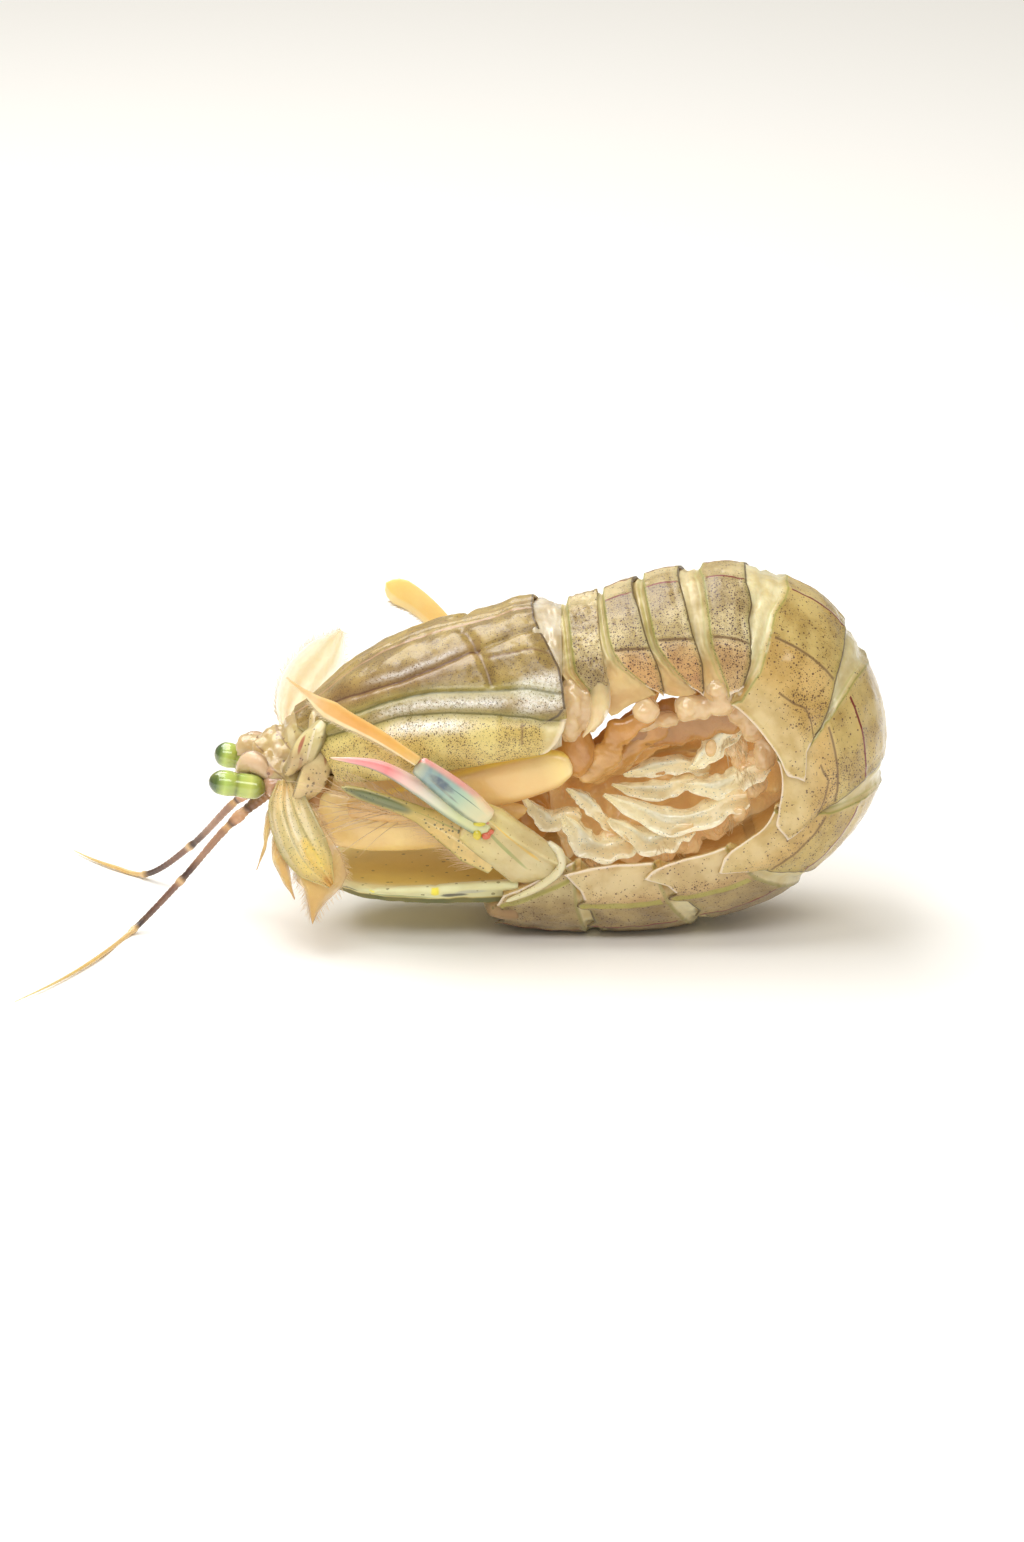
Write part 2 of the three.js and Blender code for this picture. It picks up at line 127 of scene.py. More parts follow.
# Small dark pigment dots, each of its own size
speckles, given, result = shaderGroup(
    "pigmentDots", {"Place": None, "Spacing": 0.4, "Dot size": 0.2, "Density": 0.5}, ["Mask"]
)
inputs = {0: given["Place"], "Scale": mathNode(speckles, "DIVIDE", 1000.0, given["Spacing"])}
scaled = addNode(speckles, "ShaderNodeVectorMath", inputs, operation="SCALE")
cells = addNode(speckles, "ShaderNodeTexVoronoi", {"Vector": scaled.outputs[0], "Scale": 1.0})
shares = addNode(speckles, "ShaderNodeSeparateColor", {"Color": cells.outputs["Color"]})
reach = times(speckles, shares.outputs[0], given["Dot size"])
reach = mathNode(speckles, "ADD", reach, times(speckles, given["Dot size"], 0.5))
inDot = mathNode(speckles, "LESS_THAN", cells.outputs["Distance"], reach)
kept = mathNode(speckles, "LESS_THAN", shares.outputs[1], given["Density"])
feed(speckles, result["Mask"], times(speckles, inDot, kept))

# A drawn line, from the distance to it in millimetres
lineGroup, given, result = shaderGroup(
    "drawnLine", {"Distance": 1.0, "Half width": 0.1, "Softness": 0.1}, ["Mask"]
)
away = mathNode(lineGroup, "ABSOLUTE", given["Distance"])
past = mathNode(lineGroup, "SUBTRACT", away, given["Half width"])
faded = mathNode(lineGroup, "DIVIDE", past, given["Softness"])
feed(lineGroup, result["Mask"], mathNode(lineGroup, "SUBTRACT", 1.0, faded, use_clamp=True))

# Cloudy patches and the fine uneven skin of wet shell
skinGroup, given, result = shaderGroup(
    "wetSkin", {"Place": None, "Patch size": 4.0, "Grain size": 0.5}, ["Patches", "Grain", "Height"]
)


def noise(size, **settings):
    inputs = {"Vector": given["Place"], "Scale": mathNode(skinGroup, "DIVIDE", 1000.0, given[size])}
    return addNode(skinGroup, "ShaderNodeTexNoise", inputs | settings).outputs["Fac"]


cloud = noise("Patch size", Detail=3.0, Roughness=0.55)
grain = noise("Grain size", Detail=2.0)
feed(skinGroup, result["Patches"], rampMask(skinGroup, cloud, 0.36, 0.64))
feed(skinGroup, result["Grain"], grain)
uneven = mathNode(skinGroup, "ADD", times(skinGroup, cloud, 0.8), times(skinGroup, grain, 0.35))
feed(skinGroup, result["Height"], uneven)


def newMaterial(name):
    material = bpy.data.materials.new(name)
    material.use_nodes = True
    tree = material.node_tree
    place = addNode(tree, "ShaderNodeTexCoord").outputs["Object"]
    return material, tree, tree.nodes["Principled BSDF"], place


def field(tree, name):
    return addNode(tree, "ShaderNodeAttribute", attribute_name=name).outputs["Fac"]


# shader socket: entry of a look, and what a look without it has
glossSockets = {
    "Roughness": ("rough", 0.3),
    "Subsurface Weight": ("glow", 0.35),
    "Subsurface Radius": ("glowTone", (1.0, 0.74, 0.42)),
    "Coat Weight": ("coat", 0.6),
    "Coat Roughness": ("coatRough", 0.12),
    "Coat IOR": ("coatIndex", 1.6),
}


def finishShader(tree, shader, look, colour, height, rough=None, clear=None):
    # colour, unevenness and wet gloss shared by every finish
    for socket, (entry, usual) in glossSockets.items():
        shader.inputs[socket].default_value = look.get(entry, usual)
    shader.inputs["Subsurface Scale"].default_value = look.get("glowDepth", 1.5) * mm
    shader.inputs["IOR"].default_value = 1.45
    relief = {"Height": height, "Strength": look.get("bump", 0.5), "Distance": look.get("depth", 0.12) * mm}
    normal = addNode(tree, "ShaderNodeBump", relief).outputs["Normal"]
    links = {"Base Color": colour, "Normal": normal, "Roughness": rough, "Alpha": clear}
    # painted glow: the colour is also given out as emission, standing in for light that soaks through thin
    # flesh
    if look.get("through"):  # light that soaks through thin flesh
        links["Emission Color"] = colour
        shader.inputs["Emission Strength"].default_value = look["through"]
    for socket, value in links.items():
        feed(tree, shader.inputs[socket], value)


def shellMaterial(name, look):
    # back, flank, film and inner skin, then a painted highlight (the sheen field), dots and drawn lines,
    # all by fields on the mesh
    material, tree, shader, place = newMaterial(name)
    skin = useGroup(tree, skinGroup, {"Place": place, "Patch size": look["patch"], "Grain size": 0.32})

    def patched(entry):
        return mixColour(tree, skin["Patches"], tone(look[entry]), tone(look[entry + "Dark"]))

    def dotted(spacing, size):
        inputs = {"Place": place, "Spacing": spacing, "Dot size": size, "Density": density}
        return useGroup(tree, speckles, inputs)["Mask"]

    colour = patched("back")
    for share, entry in (("flank", "flank"), ("pale", "film"), ("inside", "inside")):
        colour = mixColour(tree, field(tree, share), colour, patched(entry))
    # painted highlight: the sheen field mixes a near-white tone into the colour, broken up by the fine
    # grain
    broken = mathNode(tree, "MULTIPLY_ADD", rampMask(tree, skin["Grain"], 0.3, 0.62), 0.5, 0.4)
    colour = mixColour(tree, times(tree, field(tree, "paintedSheen"), broken), colour, tone(look["paintedSheen"]))
    density = times(tree, field(tree, "dots"), mathNode(tree, "ADD", skin["Patches"], 0.45))
    small = times(tree, dotted(look["dotSpacing"] * 0.55, 0.3), 0.75)
    dots = mathNode(tree, "MAXIMUM", dotted(look["dotSpacing"], 0.28), small)
    colour = mixColour(tree, times(tree, dots, look["dotStrength"]), colour, tone(look["dotTone"]))
    for line, width, soft, strength, shade in look["lines"]:
        inputs = {"Distance": field(tree, line), "Half width": width, "Softness": soft}
        share = times(tree, useGroup(tree, lineGroup, inputs)["Mask"], strength)
        colour = mixColour(tree, share, colour, tone(shade))
    rough = stretched(tree, skin["Grain"], look["rough"] * 0.8, look["rough"] * 1.3)
    finishShader(tree, shader, look, colour, skin["Height"], rough)
    return material


def fleshMaterial(name, look):
    # wet translucent flesh or thin shell that shades from one end to the other
    material, tree, shader, place = newMaterial(name)
    sizes = {"Place": place, "Patch size": look.get("patch", 3.0), "Grain size": 0.5}
    skin = useGroup(tree, skinGroup, sizes)
    along, across = field(tree, "along"), field(tree, "across")
    ramp = addNode(tree, "ShaderNodeValToRGB", {"Fac": along})
    colour = ramp.outputs["Color"]
    stops, elements = look["tones"], ramp.color_ramp.elements
    elements[0].position, elements[1].position = stops[0][0], stops[-1][0]
    elements[0].color, elements[1].color = tone(stops[0][1]), tone(stops[-1][1])
    for spot, shade in stops[1:-1]:
        elements.new(spot).color = tone(shade)

    def laid(share, strength, shade):
        return mixColour(tree, times(tree, share, strength), colour, tone(shade))

    for entry, sign in (("edge", 1), ("otherEdge", -1)):
        if entry in look:
            low, high, strength, shade = look[entry]
            facing = across if sign > 0 else times(tree, across, -1.0)
            colour = laid(rampMask(tree, facing, low, high), strength, shade)
    for spotAlong, spotAcross, sizeAlong, sizeAcross, slope, strength, shade in look.get("marks", ()):
        # an oval mark, or a streak when one size is much larger
        gapAlong = mathNode(tree, "SUBTRACT", along, spotAlong)
        gapAcross = mathNode(tree, "SUBTRACT", across, spotAcross)
        gapAcross = mathNode(tree, "SUBTRACT", gapAcross, times(tree, gapAlong, slope))
        parts = [
            mathNode(tree, "POWER", mathNode(tree, "ABSOLUTE", mathNode(tree, "DIVIDE", gap, size)), 2.0)
            for gap, size in ((gapAlong, sizeAlong), (gapAcross, sizeAcross))
        ]
        colour = laid(rampMask(tree, mathNode(tree, "ADD", *parts), 1.0, 0.3), strength, shade)
    colour = laid(skin["Patches"], look.get("patchStrength", 0.4), look["patchTone"])
    if look.get("dots"):
        spacing, density, shade = look["dots"]
        inputs = {"Place": place, "Spacing": spacing, "Dot size": 0.28, "Density": density}
        colour = laid(useGroup(tree, speckles, inputs)["Mask"], 0.7, shade)
    clear = None
    if look.get("clear"):
        low, high = look["clear"]
        clear = stretched(tree, field(tree, "thin"), high, low)
    finishShader(tree, shader, look, colour, skin["Height"], None, clear)
    return material


def splinePoints(knots, places):
    # centripetal Catmull-Rom through the knots, one unit of place for each gap
    knots = np.asarray(knots, float)
    last = len(knots) - 1
    places = np.asarray(places, float)
    index = np.clip(np.floor(places).astype(int), 0, last - 1)
    part = (places - index)[..., None]
    padded = np.vstack([2 * knots[0] - knots[1], knots, 2 * knots[-1] - knots[-2]])
    p0, p1, p2, p3 = (padded[index + k] for k in range(4))

    def stretch(a, b):
        return np.maximum(np.sum((b - a) ** 2, axis=-1, keepdims=True) ** 0.25, 1e-4)

    d0, d1, d2 = stretch(p0, p1), stretch(p1, p2), stretch(p2, p3)
    m1 = ((p1 - p0) / d0 - (p2 - p0) / (d0 + d1) + (p2 - p1) / d1) * d1
    m2 = ((p2 - p1) / d1 - (p3 - p1) / (d1 + d2) + (p3 - p2) / d2) * d1
    square, cube = part**2, part**3
    return (
        (2 * cube - 3 * square + 1) * p1
        + (cube - 2 * square + part) * m1
        + (3 * square - 2 * cube) * p2
        + (cube - square) * m2
    )


def smooth(value, low, high):
    part = np.clip((value - low) / (high - low), 0, 1)
    return part * part * (3 - 2 * part)


def hump(distance, width):
    return np.exp(-((distance / width) ** 2))


def waves(points, size, seed):
    # a smooth random field of about -1 to 1, of three octaves
    rng = np.random.default_rng(seed)
    total = np.zeros(points.shape[:-1])
    for octave in range(3):
        for _ in range(7):
            way = rng.normal(size=3)
            way *= 2 * math.pi * rng.uniform(0.6, 1.4) / (size / 2**octave) / np.linalg.norm(way)
            total += np.sin(points @ way + rng.uniform(0, 2 * math.pi)) * 0.5**octave
    return total / 3.2


def tubeFaces(rows, columns):
    # rings of faces from row to row, with both ends closed
    faces = []
    for r in range(rows - 1):
        for c in range(columns):
            d = (c + 1) % columns
            a, b = r * columns, (r + 1) * columns
            faces.append((a + c, a + d, b + d, b + c))
    faces.append(tuple(range(columns))[::-1])
    faces.append(tuple(range((rows - 1) * columns, rows * columns)))
    return faces


def addField(mesh, label, values, kind="FLOAT", part="value"):
    layer = mesh.attributes.new(label, kind, "POINT")
    layer.data.foreach_set(part, np.asarray(values, np.float32).ravel())


def showPiece(name, mesh, stands=()):
    piece = bpy.data.objects.new(name, mesh)
    scene.collection.objects.link(piece)
    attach(piece, "root")
    if stands:
        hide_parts(*stands)
    return piece


def makePiece(name, points, material, stands=(), fields=None, faces=None):
    # rows of points become a closed tube unless faces are given
    mesh = bpy.data.meshes.new(name)
    flat = np.array(points, float).reshape(-1, 3)
    # what would sink into the table lies flat on it
    flat[:, 2] = (flat[:, 2] + np.sqrt(flat[:, 2] ** 2 + 0.04)) / 2
    mesh.from_pydata((flat * mm).tolist(), [], faces or tubeFaces(*points.shape[:2]))
    for label, values in (fields or {}).items():
        addField(mesh, label, np.broadcast_to(values, points.shape[:-1]))
    work = bmesh.new()
    work.from_mesh(mesh)
    bmesh.ops.recalc_face_normals(work, faces=work.faces)
    work.to_mesh(mesh)
    work.free()
    mesh.polygons.foreach_set("use_smooth", [True] * len(mesh.polygons))
    mesh.materials.append(material)
    return showPiece(name, mesh, stands)


# The swept arch of the body: side margin x z, back x z, half width
bodyJoints = np.array(
    [
        (10.95, 27.0, 11.1, 33.1, 8.0), (14.95, 27.7, 14.45, 34.05, 8.6), (20.15, 27.8, 18.45, 35.65, 9.1),
        (24.65, 27.8, 23.65, 36.8, 9.4), (28.3, 26.6, 30.65, 36.7, 9.6), (32.9, 20.2, 39.3, 31.0, 9.8),
        (32.3, 14.0, 43.0, 16.4, 10.0), (27.2, 10.4, 35.3, 5.2, 10.1), (20.2, 8.9, 24.95, 0.55, 10.0),
        (11.7, 8.1, 13.45, -0.7, 9.6), (4.65, 6.6, 4.35, 0.3, 8.8),
    ],
)
carapaceJoints = np.array(
    [
        (-14.0, 16.9, -14.2, 23.2, 5.6), (-9.0, 17.6, -8.6, 27.6, 8.0), (-3.35, 18.7, -2.5, 30.4, 9.3),
        (4.0, 20.4, 4.0, 32.0, 10.2), (8.0, 21.3, 7.9, 33.5, 10.5), (10.65, 22.0, 10.65, 33.1, 10.2),
    ],
)
telsonJoints = np.array(
    [
        (4.3, 6.5, 4.0, 2.9, 8.5), (-3.0, 6.3, -3.0, 3.2, 8.9), (-8.8, 6.1, -8.6, 3.6, 7.6),
        (-12.2, 5.9, -12.0, 4.2, 4.8),
    ],
)


def archFrame(joints, place):
    # foot of the arch with its half width, the way up from it and the height
    margin = splinePoints(joints[:, [0, 4, 1]], place)
    back = splinePoints(joints[:, [2, 3]], place)
    up = np.stack([back[..., 0] - margin[..., 0], back[..., 1] - margin[..., 2]], -1)
    height = np.linalg.norm(up, axis=-1)
    return margin, up / height[..., None], height


def archPoints(joints, place, turn, lift=0.0):
    # turn is in degrees from the middle of the back; past 90 it hangs 0.1 mm a degree below the foot
    place, turn, lift = np.broadcast_arrays(np.asarray(place, float), turn, lift)
    margin, up, height = archFrame(joints, place)
    angle = np.radians(np.clip(turn, -90, 90))
    across = np.sign(angle) * np.abs(np.sin(angle)) ** 0.96
    rise = np.maximum(np.cos(angle), 0) ** 0.96
    half = margin[..., 1]
    slopeY, slopeUp = across / half, rise / height
    steep = np.hypot(slopeY, slopeUp)
    hang = np.clip(np.abs(turn) - 90, 0, None) * 0.1
    y = half * across + lift * slopeY / steep - np.sign(turn) * hang * 0.15
    reachUp = height * rise + lift * slopeUp / steep - hang
    x, z = margin[..., 0] + up[..., 0] * reachUp, margin[..., 2] + up[..., 1] * reachUp
    return np.stack([x, y + midY, z], -1)


def archScales(joints, place, turn):
    # millimetres for a unit of place, and for a degree of turn
    step = 0.02
    ahead = archPoints(joints, place + step, turn) - archPoints(joints, place - step, turn)
    inside = np.clip(turn, -88, 88)
    around = archPoints(joints, place, inside + 1) - archPoints(joints, place, inside - 1)
    return np.linalg.norm(ahead, axis=-1) / (2 * step), np.linalg.norm(around, axis=-1) / 2


def knots(pairs, at):
    return np.interp(at, *np.array(pairs, float).T)


def addRelief(lift, gaps, rows):
    # each row: line, shift from it, height and half width, in millimetres
    for line, shift, height, width in rows:
        lift = lift + height * hump(gaps[line] - shift, width)
    return lift


def plateSections(joints, place, turn, lift, spec):
    # outer arch, thin lower wall and the soft underside, as one closed ring a row
    ends, level = turn[:, [-1]], lift[:, [-1]] - spec["wall"]
    walls = []
    for side, edge in ((1, place[:, [-1]]), (-1, place[:, [0]])):
        foot = archPoints(joints, edge, side * ends, level)
        inner = archPoints(joints, edge, side * np.minimum(ends, 89), level - 0.25)
        walls.append(np.concatenate([foot, inner][::side], 1))
    margin, up, height = archFrame(joints, place[:, [place.shape[1] // 2]])
    across = np.linspace(1, -1, 2 * spec["belly"] + 1)[None, :]
    swell = spec["depth"] * height * (0.9 + 0.25 * np.sin(np.abs(across) * math.pi))
    swell = swell * smooth(1 - np.abs(across), -0.05, 0.12)
    x = margin[..., 0] + up[..., 0] * swell
    z = margin[..., 2] + up[..., 1] * swell
    belt = np.stack(np.broadcast_arrays(x, (margin[..., 1] - 0.95) * across + midY, z), -1)
    return np.concatenate([archPoints(joints, place, turn, lift), walls[0], belt, walls[1]], 1)


def ringFields(points, fields):
    # the lower wall and the underside show none of the lines
    under = {"flank": 1.0, "inside": 1.0, "pale": 0.0, "dots": 0.0, "paintedSheen": 0.0}
    whole = {}
    for label, values in fields.items():
        rest = np.full((len(values), points.shape[1] - values.shape[1]), under.get(label, noLine))
        whole[label] = np.concatenate([values, rest], 1)
    return whole


# Each plate: its front and rear edges, lower margin, red lines and side folds, by degrees from the back.
# foot and hang give the lower margin of the plate and of the film before it, from front to rear.
plates = {
    "thorax_5": {
        "front": [(0, 0.06), (50, 0.2), (75, 0.3), (96, 0.72)], "rear": [(0, 0.95), (50, 0.97), (90, 1.08)],
        "foot": [(0, 100), (1, 97)], "hang": [(0, 109), (0.5, 118), (1, 109)], "red": (13, 13),
        "side": (140, 140), "clear": 0.25, "wrinkle": 0.16,
    },
    "thorax_6": {
        "front": [(0, 1.12), (50, 1.2), (62, 1.26), (75, 1.44), (85, 1.7), (95, 1.98), (100, 2.08)],
        "hang": [(0, 114), (0.14, 128), (0.27, 119), (0.5, 110), (1, 98)],
        "rear": [
            (0, 1.84), (14, 1.85), (30, 1.93), (51, 1.98), (63, 2.03), (74, 2.11), (82, 2.14), (100, 2.13),
        ],
        "foot": [(0, 90), (0.5, 98), (0.8, 100), (1, 97)], "red": (12, 13), "side": (61, 63),
    },
    "thorax_7": {
        "front": [(0, 2.1), (56, 2.17), (62, 2.2), (75, 2.38), (85, 2.6), (95, 2.9), (100, 2.98)],
        "hang": [(0, 96), (0.25, 101), (0.5, 103), (0.75, 101), (1, 96)],
        "rear": [(0, 2.76), (15, 2.78), (56, 2.92), (75, 3.06), (88, 3.05), (100, 3.03)],
        "foot": [(0, 90), (0.5, 96), (0.8, 98), (1, 95)], "red": (12, 13), "side": (58, 60),
    },
    "thorax_8": {
        "front": [(0, 3.13), (12, 3.18), (57, 3.26), (66, 3.3), (80, 3.5), (92, 3.8)],
        "hang": [(0, 97), (0.25, 103), (0.5, 105), (0.75, 103), (1, 97)],
        "rear": [
            (0, 3.77), (16, 3.78), (34, 3.9), (45, 3.88), (63, 4.02), (70, 4.04), (90, 4.0), (100, 3.95),
        ],
        "foot": [(0, 90), (0.4, 88), (0.8, 86), (1, 83)], "red": (12, 14), "lowPale": 0.35, "pale": 0.4,
        "side": (58, 59),
    },
    "tail_1": {
        "front": [(0, 4.27), (12, 4.29), (22, 4.27), (35, 4.2), (70, 4.2), (90, 4.05), (100, 3.8)],
        "rear": [
            (0, 4.95), (8, 4.96), (27, 5.01), (42, 5.04), (57, 5.14), (65, 5.18), (71, 5.17), (77, 5.21),
            (80.5, 5.5),
        ],
        "foot": [(0, 99), (0.45, 98), (0.7, 94), (0.85, 88), (1, 80.5)], "red": (10, 8),
        "patch": [(4.3, 74), (4.51, 72.6), (4.69, 71), (4.86, 67.4), (5.03, 68.3), (5.2, 71)],
        "side": (49, 44),
    },
    "tail_2": {
        "front": [(0, 5.3), (30, 5.22), (61, 5.2), (75, 5.2), (88, 5.05), (100, 4.85)],
        "rear": [(0, 5.88), (35, 5.89), (42, 5.91), (66, 6.02), (72, 6.15), (77, 6.4)],
        "foot": [(0, 99), (0.5, 98), (0.7, 93), (0.85, 86), (1, 77)], "red": (39.5, 39),
        "patch": [(5.3, 72), (5.44, 70.6), (5.57, 68.9), (5.68, 66), (5.85, 67.4), (6.1, 69)],
        "side": (60, 60),
    },
    "tail_3": {
        "front": [(0, 6.1), (60, 6.1), (85, 5.95), (102, 5.72)],
        "rear": [(0, 6.9), (42, 6.86), (66, 6.94), (75, 7.08), (81, 7.3)],
        "foot": [(0, 102), (0.4, 101), (0.7, 95), (0.85, 89), (1, 81.5)], "red": (39, 39), "side": (62, 64),
    },
    "tail_4": {
        "front": [(0, 7.06), (66, 7.1), (85, 7.0), (101, 6.85)],
        "rear": [
            (0, 7.86), (40, 7.87), (44, 7.95), (49, 7.87), (62, 7.9), (67, 8.08), (71, 7.93), (79, 7.98),
            (86, 8.18),
        ],
        "foot": [(0, 101), (0.4, 100), (0.7, 96), (0.85, 92), (1, 86)], "red": (42, 44), "side": (66, 67),
    },
    "tail_5": {
        "front": [(0, 8.05), (66, 8.1), (85, 8.05), (99, 7.98)],
        "rear": [
            (0, 8.85), (40, 8.86), (44, 8.96), (49, 8.87), (62, 8.88), (67, 9.02), (71, 8.9), (80, 8.92),
            (93, 9.08),
        ],
        "foot": [(0, 98), (0.4, 99), (0.7, 97), (1, 93)], "red": (42, 44), "side": (66, 67),
    },
    "tail_6": {
        "front": [(0, 8.98), (66, 9.02), (85, 8.98), (104, 8.92)],
        "rear": [
            (0, 9.93), (30, 9.93), (36, 10.02), (42, 9.93), (60, 9.93), (67, 9.96), (73, 10.02), (90, 9.9),
        ],
        "foot": [(0, 104), (0.25, 97), (0.6, 90), (1, 84)], "red": (36, 36), "side": (88, 72),
    },
}
plateShape = {
    "film": 9, "plate": 34, "around": 84,  # rows of the film and the plate, points on each half
    "wall": 0.38, "depth": 0.15, "belly": 12,
    "edge": [(0.012, -0.06), (0.0, -0.18), (-0.14, -0.4)],  # place and lift of the rolled rear edge
    "relief": [
        ("red", 0, 0.1, 0.3), ("side", 0.15, -0.12, 0.22), ("side", -0.25, 0.1, 0.3),
        ("front", 0, 0.12, 0.3), ("rear", 0.8, -0.08, 0.35),
    ],
    "rim": (0.22, 66),  # height of the swollen lower margin, and the turn past which it shows
    "wrinkle": 0.05,
}

# the sheen tone below is the colour of a painted highlight
shellLook = {
    "back": "#ccb26c", "backDark": "#b2944e", "flank": "#d6b470", "flankDark": "#c09c54", "film": "#e4d8aa",
    "filmDark": "#d0bc82", "inside": "#dab878", "insideDark": "#c69e5c", "paintedSheen": "#fffdf8", "patch": 3.0,
    "dotSpacing": 0.27, "dotStrength": 0.9, "dotTone": "#5a3c24", "rough": 0.32, "bump": 0.45, "depth": 0.3,
    "glow": 0.35, "glowDepth": 1.4, "coat": 0.8, "coatRough": 0.18, "coatIndex": 1.5,
    "lines": [
        ("redLine", 0.1, 0.06, 1.0, "#761c10"), ("sideLine", 0.05, 0.12, 0.75, "#6a4a2a"),
        ("frontLine", 0.1, 0.3, 0.22, "#a8a456"), ("frontLine", 0.04, 0.1, 0.6, "#85883c"),
        ("foldLine", 0.05, 0.15, 0.4, "#b0ac5c"), ("patchLine", 0.05, 0.12, 0.65, "#5c3a26"),
        ("rearLine", 0.12, 0.5, 0.35, "#84803c"), ("rearLine", 0.05, 0.1, 0.8, "#4e3c22"),
        ("rim", 0.12, 0.2, 0.65, "#f4e0d0"),
    ],
}
bodyShell = shellMaterial("body_shell", shellLook)
# painted shade: a darker back for the last three tail plates, which face down in the curl
shadedTailLook = dict(shellLook, back="#ac9460", backDark="#8e7648", flank="#ceb07a", flankDark="#b89660")
ownLines = ("sideLine", "foldLine", "frontLine")
shadedTailLook["lines"] = [line for line in shellLook["lines"] if line[0] not in ownLines]
shadedTailLook["lines"] += [("sideLine", 0.16, 0.2, 0.7, "#a5a040"), ("frontLine", 0.08, 0.2, 0.6, "#8f8a44")]
shadedTailShell = shellMaterial("tail_shell", shadedTailLook)
chestShell = shellMaterial(
    "chest_shell",
    dict(
        shellLook, back="#a48c5a", backDark="#8e784c", flank="#cca066", flankDark="#b48454", film="#d2c090",
        filmDark="#b09a62", inside="#dcbc80", insideDark="#cca468", dotTone="#4c2e26", dotSpacing=0.245,
        dotStrength=1.0, bump=0.2, rough=0.42, coat=0.35, coatRough=0.28,
    ),
)


def plateRows(spec, before, onTail):
    # film in front of the plate, the plate and its rolled rear edge
    around = np.linspace(-1, 1, 2 * plateShape["around"] + 1)
    rows = [("film", k / plateShape["film"]) for k in range(plateShape["film"])]
    rows += [("plate", k / (plateShape["plate"] - 1)) for k in range(plateShape["plate"])]
    rows += [("edge", k) for k in range(3)]
    place, turn, lift = [], [], []
    for kind, part in rows:
        if kind == "film":
            foot = knots(spec.get("hang", spec["foot"][:1]), part)
        else:
            foot = knots(spec["foot"], 1.0 if kind == "edge" else part)
        q = around * foot
        front, rear = knots(spec["front"], np.abs(q)), knots(spec["rear"], np.abs(q))
        if kind == "film":
            start = front - 0.35
            if before is not None:
                start = np.minimum(knots(before, np.abs(q)) - 0.12, front - 0.08)
            t = start + (front - start) * part
            up = (-0.3 if onTail else -0.46) + (0.12 if onTail else 0.26) * smooth(part, 0.8, 1.0)
        elif kind == "plate":
            t = front + (rear - front) * part
            up = -0.14 + 0.32 * math.sin(math.pi * (0.05 + 0.86 * part)) ** 0.5
        else:
            t, up = rear + plateShape["edge"][part][0], plateShape["edge"][part][1]
        place.append(t)
        turn.append(q)
        lift.append(np.full_like(t, up))
    film = np.array([kind == "film" for kind, _ in rows], float)[:, None] + 0 * np.array(place)
    return np.array(place), np.array(turn), np.array(lift), film


